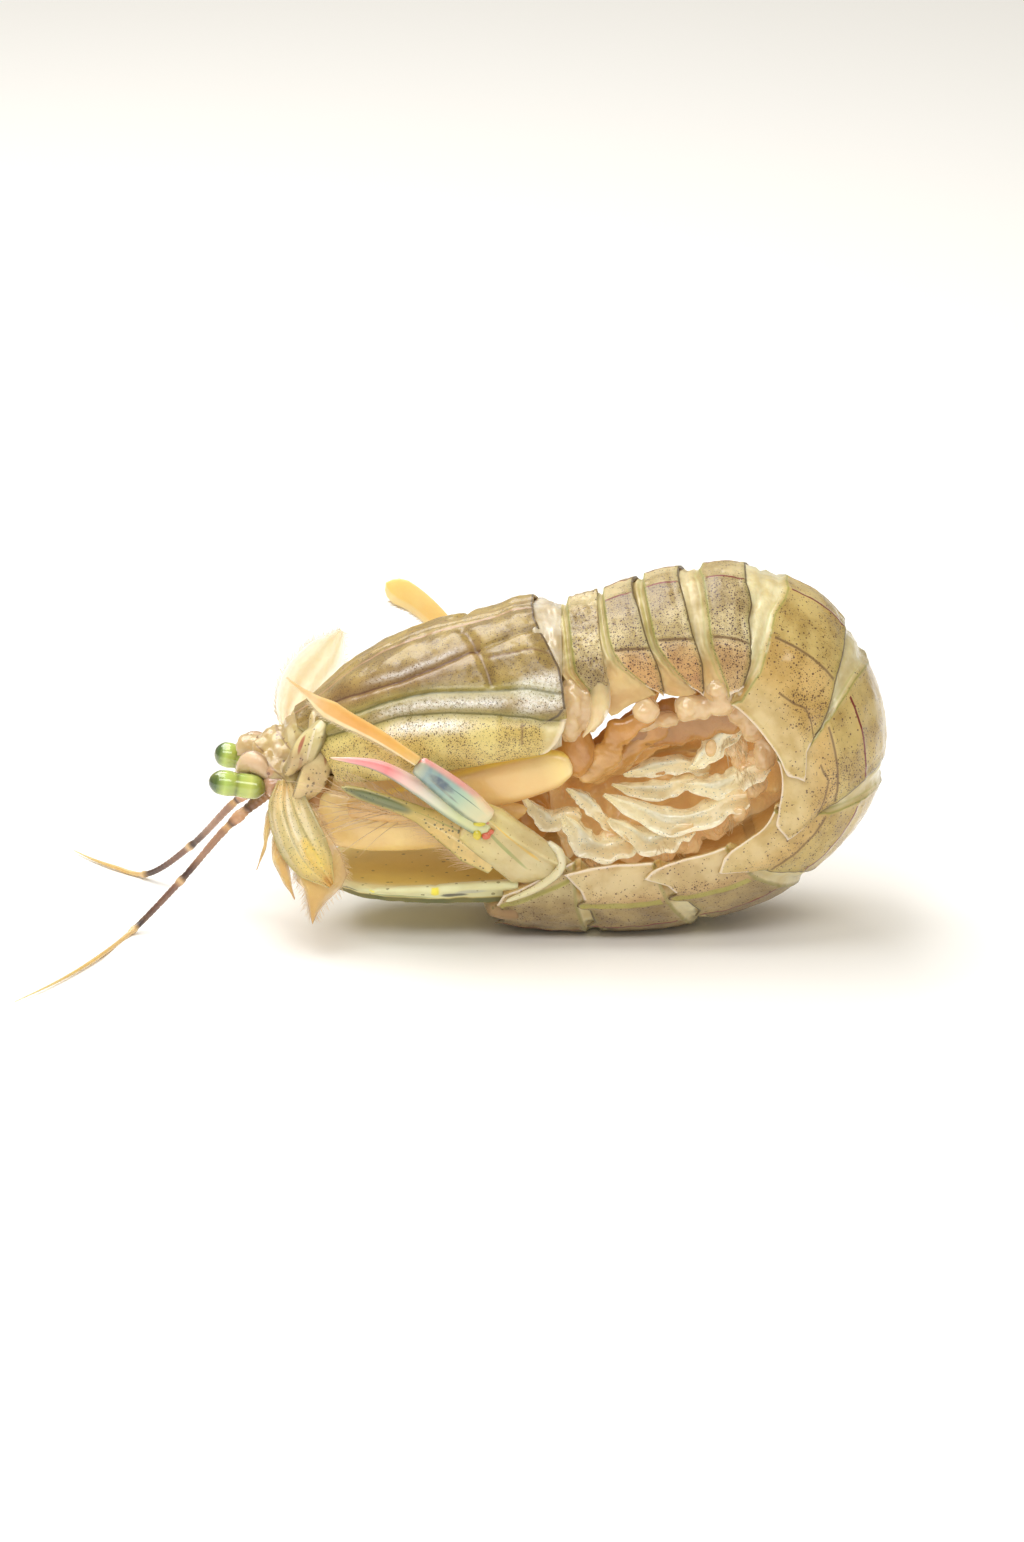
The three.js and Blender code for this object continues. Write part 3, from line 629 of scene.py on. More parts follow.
def buildPlate(name, spec, before):
    onTail = name.startswith("tail")
    place, turn, lift, film = plateRows(spec, before, onTail)
    size, hard = np.abs(turn), 1 - film
    front, rear = knots(spec["front"], size), knots(spec["rear"], size)
    share = np.clip((place - front) / (rear - front), 0, 1)
    length, girth = archScales(bodyJoints, place, turn)
    gaps = {"front": (place - front) * length, "rear": (rear - place) * length}
    for line in ("red", "side"):
        at = spec[line][0] + (spec[line][1] - spec[line][0]) * share
        gaps[line] = (size - at) * girth
    gaps["rim"] = (knots(spec["foot"], share) - size) * np.where(size > 88, 0.1, girth)
    flat = archPoints(bodyJoints, place, turn)
    seed = sum(map(ord, name))
    # the lower rear corner of a tail plate stands clear of the next plate
    lift = lift + onTail * 0.34 * smooth(size, 67, 75) * smooth(share, 0.4, 0.9)
    rimHeight, rimFrom = plateShape["rim"]
    lift = lift + hard * (
        addRelief(0, gaps, plateShape["relief"])
        + rimHeight * hump(gaps["rim"] - 0.1, 0.35) * (size > rimFrom)
        + spec.get("wrinkle", plateShape["wrinkle"]) * waves(flat, 2.6, seed)
    )
    folds = 0.13 * np.cos(np.clip((place - (front - 0.35)) / 0.35, 0, 1) * 12.6)
    lift = lift + film * (0.09 * waves(flat * (1.0, 0.35, 1.0), 1.6, seed + 7) + folds)
    points = plateSections(bodyJoints, place, turn, lift, plateShape)

    plain = "clear" not in spec
    shown = hard * plain * smooth(share, 0.02, 0.08) * (1 - smooth(share, 0.96, 1.0)) > 0.3
    crest = hard * (not onTail) * smooth(-gaps["red"], 0, 0.12)
    dots = hard * ((0.3 if onTail else 1.1) + (0.3 if onTail else 0.5) * smooth(share, 0.35, 0.8))
    dots = dots * (1 - 0.6 * spec.get("clear", 0)) * (1 - 0.75 * crest)
    if onTail:
        dots = dots * (1 - 0.75 * smooth(size, 74, 82))
        pale = np.maximum(film, 0.4 * smooth(size, 68, 82))
    else:
        low = spec.get("lowPale", 0) * smooth(gaps["side"], -0.1, 0.3)
        pale = np.maximum(np.maximum(film, low), np.maximum(hump(size - 51, 16), spec.get("clear", 0)))
        pale = np.maximum(pale, np.maximum(0.8 * crest, spec.get("pale", 0)))
    patchGap = np.full_like(size, noLine)
    if "patch" in spec:  # the dark field low on the first tail plates
        patchGap = np.where(share > 0.3, (knots(spec["patch"], place) - size) * girth, noLine)
        inField = smooth(patchGap, -0.05, 0.15) * (1 - smooth(patchGap, 2.5, 5.0))
        dots = dots + 0.75 * hard * inField * smooth(share, 0.35, 0.55)
    rearShown = (hard > 0) & ((size < 71) | (not onTail)) & plain
    rim = np.where(onTail & (size > 72), np.minimum(gaps["rim"], gaps["rear"] + 0.05), gaps["rim"])
    fields = {
        "flank": smooth(gaps["side"], -0.2, 0.2),
        "pale": pale,
        "inside": film * smooth(size, 60, 84),
        "dots": dots,
        "foldLine": np.where((film > 0) & (size < 88), gaps["front"] + 0.55, noLine),
        "redLine": np.where(shown, gaps["red"], noLine),
        "sideLine": np.where(shown, gaps["side"], noLine),
        "frontLine": gaps["front"],
        "rearLine": np.where(rearShown, gaps["rear"], noLine),
        "patchLine": patchGap,
        "rim": np.where((size > 68) & (hard > 0), rim, noLine),
    }
    finish = bodyShell if onTail else chestShell
    # the last three tail plates take the darker shell of painted shade
    if name in ("tail_4", "tail_5", "tail_6"):
        finish = shadedTailShell
    makePiece(name + "_shell", points, finish, [name], ringFields(points, fields))


before = None
for name, spec in plates.items():
    buildPlate(name, spec, before)
    before = spec["rear"]
print("body plates done")

# The front shield: edges and long lines as (place, degrees) or (degrees, place) pairs
shield = {
    "rows": 130, "around": 120,
    "rear": [
        (0, 4.0), (18, 4.05), (38, 4.58), (50, 4.95), (60, 5.08), (68, 5.14), (76, 5.22), (82, 5.1),
        (87, 4.85), (92, 4.35),
    ],
    "gastric": [
        (0.0, 29), (0.34, 29), (0.96, 36), (1.57, 38.5), (2.19, 35.5), (2.69, 29), (3.0, 27), (5.2, 25),
    ],
    "lateral": [(0.0, 46), (0.89, 49), (1.42, 48.5), (2.07, 50), (2.93, 55), (4.41, 61.5), (5.2, 64)],
    "second": [(0.0, 56), (1.08, 59), (1.6, 58.5), (2.37, 62), (3.35, 69.5), (4.3, 75), (5.2, 77)],
    "keel": [(0.0, 9.5), (1.22, 6.5), (2.18, 7), (2.93, 4), (3.98, 6), (5.2, 6)],
    "neck": [(2.5, 12), (2.62, 19), (2.77, 32), (2.97, 51.5)], "branch": [(2.93, 36.5), (4.54, 41.5)],
    "mark": [(3.7, 75), (3.68, 84)], "front": [(0, -0.3), (30, -0.25), (55, 0.0), (75, 0.3), (92, 0.5)],
    "corner": [(5.13, 69), (5.06, 72), (4.9, 74.5), (4.6, 76)], "bulge": (0.2, 0.5, 0.4, 0.65, 0.7),
    "edge": [(0.02, 0.12), (0.0, -0.12), (-0.2, -0.5)],
    "relief": [
        ("neck", 0, -0.45, 0.5), ("branch", 0, -0.12, 0.3), ("lateral", -0.2, 0.22, 0.3),
        ("second", -0.15, 0.16, 0.3), ("gastric", 0, -0.18, 0.35), ("keel", 0, 0.12, 0.25),
    ],
    # painted highlight streaks beside the long lines: line, shift from it, half width, strength, and the
    # places over which each fades in and out
    "paintedShine": [
        ("lateral", 1.25, 0.5, 1.0, (0.9, 1.6), (2.9, 3.7)),
        ("second", 1.3, 0.75, 1.0, (1.1, 1.7), (2.3, 2.9)),
        ("gastric", -0.75, 0.32, 0.9, (0.8, 1.4), (2.3, 2.7)),
    ],
    "wall": 0.4, "depth": 0.06, "belly": 14,
}
shieldLook = dict(
    shellLook, back="#ac9250", backDark="#90763a", flank="#decb80", flankDark="#ceb466", rough=0.4,
    dotSpacing=0.2, dotStrength=0.9, bump=0.28, dotTone="#5a4226", coat=0.5, coatRough=0.2, coatIndex=1.55,
    lines=[
        ("keelLine", 0.07, 0.12, 0.65, "#b98d70"), ("redLine", 0.4, 1.6, 0.5, "#8a6640"),
        ("redLine", 0.06, 0.12, 0.8, "#6a4228"), ("sideLine", 0.3, 0.9, 0.45, "#8c8a40"),
        ("sideLine", 0.06, 0.12, 0.7, "#66622c"), ("secondLine", 0.25, 0.7, 0.45, "#8f8a3c"),
        ("secondLine", 0.05, 0.1, 0.7, "#66602c"), ("branchLine", 0.06, 0.15, 0.6, "#7c5a38"),
        ("rearLine", 0.2, 0.5, 0.4, "#8a7040"), ("rearLine", 0.06, 0.1, 0.85, "#4d3c28"),
        ("rim", 0.3, 0.4, 0.7, "#e9d6bd"),
    ],
)


def lineGap(joints, place, turn, line):
    # signed distance in millimetres to a line drawn across the shell
    points = archPoints(joints, place, np.abs(turn))
    line = np.array(line, float)
    count = 40
    at = np.linspace(0, len(line) - 1, count)
    fine = np.stack([np.interp(at, range(len(line)), line[:, k]) for k in (0, 1)], -1)
    drawn = archPoints(joints, fine[:, 0], fine[:, 1])
    best = np.full(place.shape, 1e9)
    signs = np.ones(place.shape)
    for k in range(count - 1):
        a, way, slope = drawn[k], drawn[k + 1] - drawn[k], fine[k + 1] - fine[k]
        share = np.clip(((points - a) @ way) / (way @ way), 0, 1)
        gap = np.linalg.norm(points - a - share[..., None] * way, axis=-1)
        turned = (place - fine[k, 0]) * slope[1] - (np.abs(turn) - fine[k, 1]) * slope[0]
        closer = gap < best
        best = np.where(closer, gap, best)
        signs = np.where(closer, np.where(turned < 0, -1, 1), signs)
    return best * signs


def buildShield():
    joints, reach = carapaceJoints, 92.0
    q = np.linspace(-1, 1, 2 * shield["around"] + 1) * reach
    front, rear = knots(shield["front"], np.abs(q)), knots(shield["rear"], np.abs(q))
    high = smooth(np.abs(q), 40, 60)
    place, lift = [], []
    for k in range(shield["rows"]):
        part = k / (shield["rows"] - 1)
        place.append(front + (rear - front) * part)
        drop = 0.4 * smooth(part, 0.85, 1.0) * (1 - high)
        lift.append(0.1 + 0.2 * smooth(part, 0.8, 1.0) * smooth(np.abs(q), 30, 60) - drop)
    for ahead, up in shield["edge"]:
        place.append(rear + ahead)
        lift.append(up - 0.45 * (1 - high))
    place, lift = np.array(place), np.array(lift)
    turn = np.broadcast_to(q, place.shape)
    size = np.abs(turn)
    length, girth = archScales(joints, np.clip(place, 0.03, 4.97), turn)
    gapRear = (knots(shield["rear"], size) - place) * length
    lines = {line: knots(shield[line], place) for line in ("keel", "gastric", "lateral", "second")}
    gaps = {line: (size - at) * girth for line, at in lines.items()}
    fronts = (np.zeros_like(size), *lines.values())
    backs = (*lines.values(), np.full_like(size, reach))
    for low, far, bulge in zip(fronts, backs, shield["bulge"]):
        share = np.clip((size - low) / (far - low), 0, 1)
        lift = lift + bulge * np.sin(share * math.pi) ** 0.8 * smooth(place, -0.2, 0.6)
    for line in ("neck", "branch", "mark", "corner"):
        gaps[line] = lineGap(joints, place, turn, shield[line])
    lift = addRelief(lift, gaps, shield["relief"])
    flat = archPoints(joints, place, turn)
    lift = lift + 0.16 * hump(gapRear - 0.15, 0.35) * smooth(size, 35, 60) + 0.06 * waves(flat, 3.0, 5)
    points = plateSections(joints, place, turn, lift, shield)

    corner = smooth(gaps["second"], 0.2, 0.8) * smooth(place, 4.1, 4.5)
    # painted highlight: the streaks of the table above, and a broad painted highlight on the rear corner of
    # the shield
    paintedSheen = 0
    for line, shift, width, strength, rise, fall in shield["paintedShine"]:
        streak = strength * hump(gaps[line] - shift, width)
        paintedSheen = paintedSheen + streak * smooth(place, *rise) * (1 - smooth(place, *fall))
    paintedSheen = paintedSheen + 0.8 * smooth(place, 3.3, 3.9) * smooth(size, 50, 56) * (1 - smooth(size, 68, 74))
    branches = np.minimum(np.abs(gaps["branch"]), np.minimum(np.abs(gaps["neck"]), np.abs(gaps["mark"])))
    fields = {
        "flank": smooth(gaps["second"], -0.5, 0.8),
        "pale": 0.8 * corner,
        "inside": np.zeros_like(place),
        "dots": (0.6 + 0.3 * smooth(gaps["second"], 0, 2)) * (1 - corner),
        "paintedSheen": np.clip(paintedSheen, 0, 1),
        "keelLine": gaps["keel"],
        "redLine": np.where((place < 2.8) & (place > 0.1), gaps["gastric"], noLine),
        "sideLine": gaps["lateral"] - 0.1,
        "secondLine": gaps["second"] - 0.1,
        "branchLine": branches,
        "rearLine": np.where(size < 72, gapRear - 0.1, gaps["corner"]),
        "rim": np.where(size > 76, gapRear, noLine),
    }
    finish = shellMaterial("front_shell", shieldLook)
    makePiece("carapace_shell", points, finish, ["carapace"], ringFields(points, fields))


buildShield()
# soft pale skin between the front shield and the first body plate
collar = {
    "rows": 26, "half": 60, "reach": 93, "front": 4.9, "rear": 5.05,
    "wall": 0.4, "depth": 0.05, "belly": 10,
}
collarShell = shellMaterial("collar_film", dict(shellLook, film="#dcd0b8", filmDark="#c4b08c"))


def buildCollar():
    rows = np.linspace(0, 1, collar["rows"])[:, None]
    turn = np.linspace(-1, 1, 2 * collar["half"] + 1) * collar["reach"] + 0 * rows
    start = np.minimum(knots(shield["rear"], np.abs(turn)) - 0.25, collar["front"])
    place = start + (collar["rear"] - start) * rows
    flat = archPoints(carapaceJoints, place, turn)
    lift = -0.25 + 0.16 * waves(flat * (1, 0.4, 1), 2.2, 31) - 0.25 * smooth(rows, 0.75, 1)
    points = plateSections(carapaceJoints, place, turn, lift, collar)
    blank = np.zeros_like(turn)
    fields = {"pale": blank + 1, "inside": blank, "dots": blank}
    fields |= {line[0]: blank + noLine for line in shellLook["lines"]}
    fields = ringFields(points, fields) | {"flank": 0.0}
    makePiece("collar_skin", points, collarShell, (), fields)


buildCollar()
print("front shield done")


# Limbs, feelers and leaves follow a path of knots, with widths spread evenly along it
limbGrid = {"sides": 28, "steps": 60, "boxy": 1.0, "cap": 0.05}  # where a shape doesn't say
leafGrid = {"steps": 60, "half": 14}


def limbFrames(shape):
    steps = shape["steps"]
    path = np.array(shape["path"], float) + (0, midY, 0)
    centre = splinePoints(path, np.linspace(0, len(path) - 1, steps + 1))
    tangent = np.gradient(centre, axis=0)
    tangent /= np.linalg.norm(tangent, axis=-1, keepdims=True)
    across = np.array(shape["across"], float)
    side = across - (tangent @ across)[:, None] * tangent
    side /= np.linalg.norm(side, axis=-1, keepdims=True)

    def profile(values):
        values = np.array(values, float)[:, None]
        return np.maximum(splinePoints(values, np.linspace(0, len(values) - 1, steps + 1))[:, 0], 0.03)

    return centre, side, np.cross(tangent, side), profile(shape["wide"]), profile(shape["thick"])


def mirrored(shape):
    return dict(shape, path=[(x, -y, z) for x, y, z in shape["path"]])


def bothSides(shape):
    return (("left", shape), ("right", mirrored(shape)))


def limbPiece(name, shape, material, stands=()):
    shape = limbGrid | shape
    centre, side, normal, wide, thick = limbFrames(shape)
    along = np.linspace(0, 1, shape["steps"] + 1)
    end = np.minimum(along, 1 - along)
    ends = np.sqrt(np.clip(1 - (1 - end / shape["cap"]) ** 2, 0.0004, 1))
    ends = np.where(end < shape["cap"], ends, 1)
    angle = np.linspace(0, 2 * math.pi, shape["sides"], endpoint=False)
    c = np.sign(np.cos(angle)) * np.abs(np.cos(angle)) ** shape["boxy"]
    s = np.sign(np.sin(angle)) * np.abs(np.sin(angle)) ** shape["boxy"]
    points = (
        centre[:, None]
        + side[:, None] * (wide * ends / 2)[:, None, None] * c[None, :, None]
        + normal[:, None] * (thick * ends / 2)[:, None, None] * s[None, :, None]
    )
    along, across = along[:, None] + 0 * angle, np.broadcast_to(c, points.shape[:2])
    if "ripple" in shape:
        (height, size, seed), (ringHeight, pitch) = shape["ripple"], shape.get("rings", (0, 0))
        swell = height * waves(points, size, seed) + ringHeight * np.cos(along * pitch)
        middle = points.mean(axis=1, keepdims=True)
        points = middle + (points - middle) * (1 + swell)[..., None]
    fields = {"along": along, "across": across, "thin": smooth(np.abs(across), 0.6, 1.0)}
    return makePiece(name, points, material, stands, fields)


eyes = {
    "left": [(-24.4, -4.2, 16.15), (-21.6, -4.0, 15.65), (-18.6, -3.8, 15.15)],
    "right": [(-24.0, 3.9, 16.3), (-21.7, 3.6, 15.8), (-19.2, 3.4, 15.4)],
    "round": [2.0, 2.4, 2.6, 2.38, 2.5, 2.42, 1.9],
    "stalk": [(-0.4, 0.0, 0.1), (1.2, 0.5, 0.4), (3.0, 1.2, 0.9)],  # from the end of the eye, inwards
    "stalkWide": [2.2, 2.6, 3.0],
    "stalkThick": [2.1, 2.5, 3.0],
}
eyeLook = {
    "tones": [
        (0.0, "#2a3c1c"), (0.12, "#4c6628"), (0.28, "#b8d068"), (0.44, "#94ac50"), (0.49, "#4e682a"),
        (0.55, "#9cb858"), (0.72, "#c0d072"), (0.82, "#6c843a"), (0.9, "#2c3c1e"), (1.0, "#2a3a1e"),
    ],
    "edge": (0.35, 0.95, 0.5, "#3f5a26"), "patchTone": "#d6d45a", "patchStrength": 0.35, "rough": 0.12,
    "coat": 1.0, "coatRough": 0.04, "glow": 0.2, "bump": 0.1,
}
eyeMaterial = fleshMaterial("eye_green", eyeLook)
stalkLook = {
    "tones": [(0.0, "#c8a078"), (0.5, "#d8ac8c"), (1.0, "#d0b084")], "patchTone": "#b07a60",
    "patchStrength": 0.4, "rough": 0.25, "glow": 0.5, "depth": 0.3, "coat": 0.8,
}
stalkMaterial = fleshMaterial("stalk_pink", stalkLook)
for sideName, sign in sides:
    name = "eye_" + sideName
    shape = {"path": eyes[sideName], "across": (0, 1, 0), "cap": 0.2, "sides": 36, "steps": 72}
    shape = dict(shape, wide=eyes["round"], thick=eyes["round"])
    limbPiece(name + "_cornea", shape, eyeMaterial, [name])
    path = [np.array(shape["path"][2]) + (x, -sign * y, z) for x, y, z in eyes["stalk"]]
    shape = dict(shape, path=path, wide=eyes["stalkWide"], thick=eyes["stalkThick"], sides=24, steps=30)
    limbPiece(name + "_stalk", shape, stalkMaterial, ())
print("eyes done")


def softLumps(name, balls, look, material, stands=()):
    # balls that run together into one soft mass: head, chest, gills and flesh
    work = bmesh.new()
    for centre, radii in balls:
        made = bmesh.ops.create_icosphere(work, subdivisions=3, radius=1.0)
        for vert in made["verts"]:
            vert.co = [centre[k] + vert.co[k] * radii[k] for k in range(3)]
    rawMesh = bpy.data.meshes.new(name + "_raw")
    work.to_mesh(rawMesh)
    work.free()
    raw = bpy.data.objects.new(name + "_raw", rawMesh)
    scene.collection.objects.link(raw)
    join = raw.modifiers.new("join", "REMESH")
    join.mode, join.voxel_size = "VOXEL", look["voxel"]
    relax = raw.modifiers.new("relax", "SMOOTH")
    relax.factor, relax.iterations = 0.5, look["rounds"]
    ready = bpy.data.meshes.new_from_object(raw.evaluated_get(bpy.context.evaluated_depsgraph_get()))
    points, normals = np.empty((2, 3 * len(ready.vertices)))
    ready.vertices.foreach_get("co", points)
    ready.vertices.foreach_get("normal", normals)
    points, normals = points.reshape(-1, 3), normals.reshape(-1, 3)
    points = points + normals * (look["ripple"] * waves(points, 2.0, len(balls)))[:, None]
    faces = [tuple(face.vertices) for face in ready.polygons]
    bpy.data.objects.remove(raw)
    low, high = points.min(axis=0), points.max(axis=0)
    along = (points[:, 0] - low[0]) / (high[0] - low[0])
    height = (points[:, 2] - low[2]) / (high[2] - low[2]) * 2 - 1
    fields = {"along": along, "across": height, "thin": 0 * along}
    return makePiece(name, points + (0, midY, 0), material, stands, fields, faces)


head = {
    "balls": [
        ((-14.6, 0.0, 18.6), (2.6, 4.2, 3.4)), ((-17.6, 0.6, 18.2), (2.0, 2.8, 1.9)),
        ((-20.2, 2.2, 17.5), (1.7, 1.6, 1.3)), ((-20.2, -1.4, 16.6), (1.5, 1.6, 1.3)),
        ((-17.8, -2.9, 16.5), (1.6, 1.4, 1.6)), ((-15.6, -3.6, 16.2), (1.6, 1.5, 2.2)),
        ((-15.2, 3.2, 17.2), (2.0, 2.0, 2.6)), ((-18.2, 3.0, 16.8), (1.6, 1.6, 1.5)),
        ((-13.4, 0.0, 15.8), (2.4, 3.8, 3.2)), ((-19.0, 0.4, 15.2), (1.7, 2.4, 1.2)),
        ((-16.8, -1.4, 14.6), (1.6, 1.7, 1.3)), ((-19.2, -0.4, 18.5), (0.9, 0.9, 0.7)),
        ((-16.9, -2.6, 18.7), (0.8, 0.8, 0.7)), ((-18.6, -2.4, 17.9), (0.7, 0.7, 0.7)),
        ((-15.9, 0.9, 20.6), (1.0, 1.2, 0.8)),
    ],
    "voxel": 0.28, "ripple": 0.12, "rounds": 8,
}
headLook = {
    "tones": [(0.0, "#d0b686"), (0.3, "#c8b078"), (0.6, "#c2ae72"), (1.0, "#b8a864")],
    "patchTone": "#a8845a", "patchStrength": 0.4, "glowTone": (1.0, 0.85, 0.55), "patch": 2.2,
    "dots": (0.4, 0.14, "#6a3c2c"),
    # the thin dark brown streaks among the marks are painted shade, drawn where creases between the lumps
    # would be
    "marks": [
        (0.15, 0.5, 0.2, 0.03, 1.0, 0.6, "#7c6a40"), (0.4, 0.55, 0.16, 0.03, -1.5, 0.6, "#7c5a40"),
        (0.33, 0.05, 0.2, 0.03, -2.0, 0.6, "#7c5a40"), (0.52, 0.6, 0.05, 0.2, -1.0, 0.5, "#e8dcb4"),
        (0.66, 0.42, 0.05, 0.13, -2.0, 0.85, "#a4543c"), (0.7, 0.78, 0.04, 0.1, -1.5, 0.8, "#9a5040"),
        (0.4, 0.3, 0.05, 0.16, 1.0, 0.6, "#f0dcb8"), (0.3, -0.1, 0.07, 0.14, 1.0, 0.6, "#d69a80"),
        (0.52, 0.1, 0.03, 0.3, 0.5, 0.5, "#8c6a48"), (0.85, 0.0, 0.05, 0.3, 0.0, 0.7, "#d0b840"),
        (0.93, 0.2, 0.03, 0.3, 0.0, 0.7, "#6f9a78"),
    ],
    "rough": 0.3, "glow": 0.5, "bump": 0.45, "depth": 0.35, "coat": 0.6, "coatRough": 0.12,
}
softLumps("head_lumps", head["balls"], head, fleshMaterial("head_flesh", headLook), ["head"])
cheekLook = dict(
    headLook, tones=[(0.0, "#cdb878"), (0.5, "#e8d49e"), (1.0, "#e6ca90")], dots=(0.27, 0.2, "#4a3422"),
    edge=(0.8, 0.96, 0.8, "#5d5436"), otherEdge=(0.86, 0.97, 0.8, "#5d5436"),
    marks=[
        (0.3, -0.2, 0.14, 0.3, 1.5, 0.7, "#e8d4a8"), (0.42, 0.35, 0.12, 0.16, 1.0, 0.7, "#a8604c"),
        (0.72, 0.1, 0.03, 0.12, 0, 0.8, "#3a2c20"), (0.76, -0.2, 0.02, 0.1, 0, 0.8, "#3a2c20"),
        (0.79, 0.25, 0.02, 0.1, 0, 0.8, "#3a2c20"), (0.69, -0.35, 0.02, 0.08, 0, 0.8, "#3a2c20"),
        (0.83, -0.02, 0.02, 0.09, 0, 0.8, "#3a2c20"),
    ],
)
cheek = {
    "path": [
        (-13.9, -2.4, 23.0), (-13.4, -4.3, 21.0), (-13.4, -5.4, 18.6), (-14.3, -6.0, 16.4),
        (-15.7, -5.9, 14.4),
    ],
    "across": (1, 0.2, 0.2), "wide": [0.8, 2.4, 3.0, 2.9, 1.3], "thick": [0.7, 1.2, 1.4, 1.2, 0.7],
    "steps": 44, "cap": 0.08,
}
ovalLook = dict(
    cheekLook, tones=[(0.0, "#bcac70"), (0.4, "#d6c890"), (1.0, "#dcc494")],
    edge=(0.8, 1.0, 0.8, "#6a6238"), otherEdge=(0.82, 1.0, 0.7, "#86744a"),
    marks=[
        (0.42, 0.3, 0.22, 0.14, 0.5, 0.8, "#ecdfc2"), (0.5, -0.42, 0.14, 0.2, 0, 0.85, "#a8583e"),
        (0.72, -0.1, 0.16, 0.2, 0, 0.6, "#b98a66"),
    ],
)
ovalPlate = {
    "path": [(-12.7, -3.6, 22.6), (-13.8, -5.1, 21.1), (-15.2, -5.5, 19.1), (-16.9, -4.5, 17.0)],
    "across": (1, 0, 0.7), "wide": [1.3, 2.7, 2.6, 1.0], "thick": [0.8, 1.6, 1.7, 1.4], "steps": 44,
    "cap": 0.12,
}
browLook = dict(
    ovalLook, tones=[(0.0, "#d6b88c"), (0.5, "#e4c6a4"), (1.0, "#d2b084")], marks=[], dots=None,
    patchStrength=0.2, edge=(0.88, 1.0, 0.7, "#86684a"), otherEdge=(0.88, 1.0, 0.5, "#a8845a"),
)
browPlate = {
    "path": [(-21.7, -2.5, 16.4), (-20.0, -2.9, 17.6), (-17.9, -3.7, 16.0)], "across": (0, 0, 1),
    "wide": [0.5, 2.5, 0.7], "thick": [0.8, 1.7, 1.1], "sides": 20, "steps": 30, "cap": 0.2,
}
for name, finish, look, plate in (
    ("cheek_", "cheek_plate", cheekLook, cheek),
    ("cheek_oval_", "cheek_oval", ovalLook, ovalPlate),
    ("brow_", "brow_pink", browLook, browPlate),
):
    material = fleshMaterial(finish, look)
    for sideName, shape in bothSides(plate):
        limbPiece(name + sideName, shape, material, ())
print("head done")


def tubeNodes(tree, curve, radius, corners, girth):
    # a closed tube along the curve, scaled by the radius at each point
    sized = addNode(tree, "GeometryNodeSetCurveRadius", {"Curve": curve, "Radius": radius}).outputs[0]
    ring = addNode(tree, "GeometryNodeCurvePrimitiveCircle", {"Resolution": corners, "Radius": girth})
    inputs = {"Curve": sized, "Profile Curve": ring.outputs[0], "Fill Caps": True}
    tube = addNode(tree, "GeometryNodeCurveToMesh", inputs)
    if "Scale" in tube.inputs:
        feed(tree, tube.inputs["Scale"], radius)
    return addNode(tree, "GeometryNodeSetShadeSmooth", {"Geometry": tube.outputs[0]}).outputs[0]


def endNodes(tree, geometry, given, final):
    solid = addNode(tree, "GeometryNodeRealizeInstances", {"Geometry": geometry}).outputs[0]
    dressed = addNode(tree, "GeometryNodeSetMaterial", {"Geometry": solid, "Material": given["Finish"]})
    feed(tree, final[0], dressed.outputs[0])


def named(tree, label, kind="FLOAT"):
    made = addNode(tree, "GeometryNodeInputNamedAttribute", {"Name": label}, data_type=kind)
    return made.outputs["Attribute"]


def bristleTree():
    # bristles, filaments and spines standing on marked points
    inputs = {
        "Points": ("Geometry", None), "Length": ("Float", 1.0), "Thickness": ("Float", 0.05),
        "Bend": ("Float", 0.2), "Spread": ("Float", 0.2), "Seed": ("Int", 1), "Finish": ("Material", None),
    }
    outputs = {"Bristles": "Geometry"}
    tree, given, final, known = nodeGroup("standingBristles", "GeometryNodeTree", inputs, outputs)

    def randomBetween(low, high, shift):
        seed = mathNode(tree, "ADD", given["Seed"], shift)
        made = addNode(tree, "FunctionNodeRandomValue", {2: low, 3: high, "Seed": seed}, data_type="FLOAT")
        return made.outputs[1]

    # one hair a unit long, bent and tapered
    middle, end = (
        addNode(tree, "ShaderNodeCombineXYZ", {"X": times(tree, given["Bend"], bend), "Z": up}).outputs[0]
        for bend, up in ((0.1, 0.5), (1.0, 1.0))
    )
    bow = {"Resolution": 4, "Start": (0, 0, 0), "Middle": middle, "End": end}
    hair = addNode(tree, "GeometryNodeCurveQuadraticBezier", bow).outputs[0]
    taper = stretched(tree, addNode(tree, "GeometryNodeSplineParameter").outputs["Factor"], 1.0, 0.15)
    stem = tubeNodes(tree, hair, taper, 3, mathNode(tree, "DIVIDE", given["Thickness"], given["Length"]))
    # each hair's way strays a little, and it spins about itself
    inputs = {"Min": (-1.0, -1.0, -1.0), "Max": (1.0, 1.0, 1.0), "Seed": given["Seed"]}
    stray = addNode(tree, "FunctionNodeRandomValue", inputs, data_type="FLOAT_VECTOR").outputs[0]
    inputs = {0: stray, "Scale": given["Spread"]}
    stray = addNode(tree, "ShaderNodeVectorMath", inputs, operation="SCALE").outputs[0]
    inputs = {0: named(tree, "way", "FLOAT_VECTOR"), 1: stray}
    aimed = addNode(tree, "ShaderNodeVectorMath", inputs, operation="ADD").outputs[0]
    turn = addNode(tree, "FunctionNodeAlignRotationToVector", {"Vector": aimed}, axis="Z").outputs[0]
    inputs = {"Axis": (0, 0, 1), "Angle": randomBetween(-3.14, 3.14, 5)}
    spin = addNode(tree, "FunctionNodeAxisAngleToRotation", inputs).outputs[0]
    inputs = {"Rotation": turn, "Rotate By": spin}
    both = addNode(tree, "FunctionNodeRotateRotation", inputs, rotation_space="LOCAL").outputs[0]
    grown = times(tree, times(tree, named(tree, "size"), randomBetween(0.7, 1.2, 9)), given["Length"])
    inputs = {"Points": given["Points"], "Instance": stem, "Rotation": both, "Scale": grown}
    endNodes(tree, addNode(tree, "GeometryNodeInstanceOnPoints", inputs).outputs[0], given, final)
    return tree, known


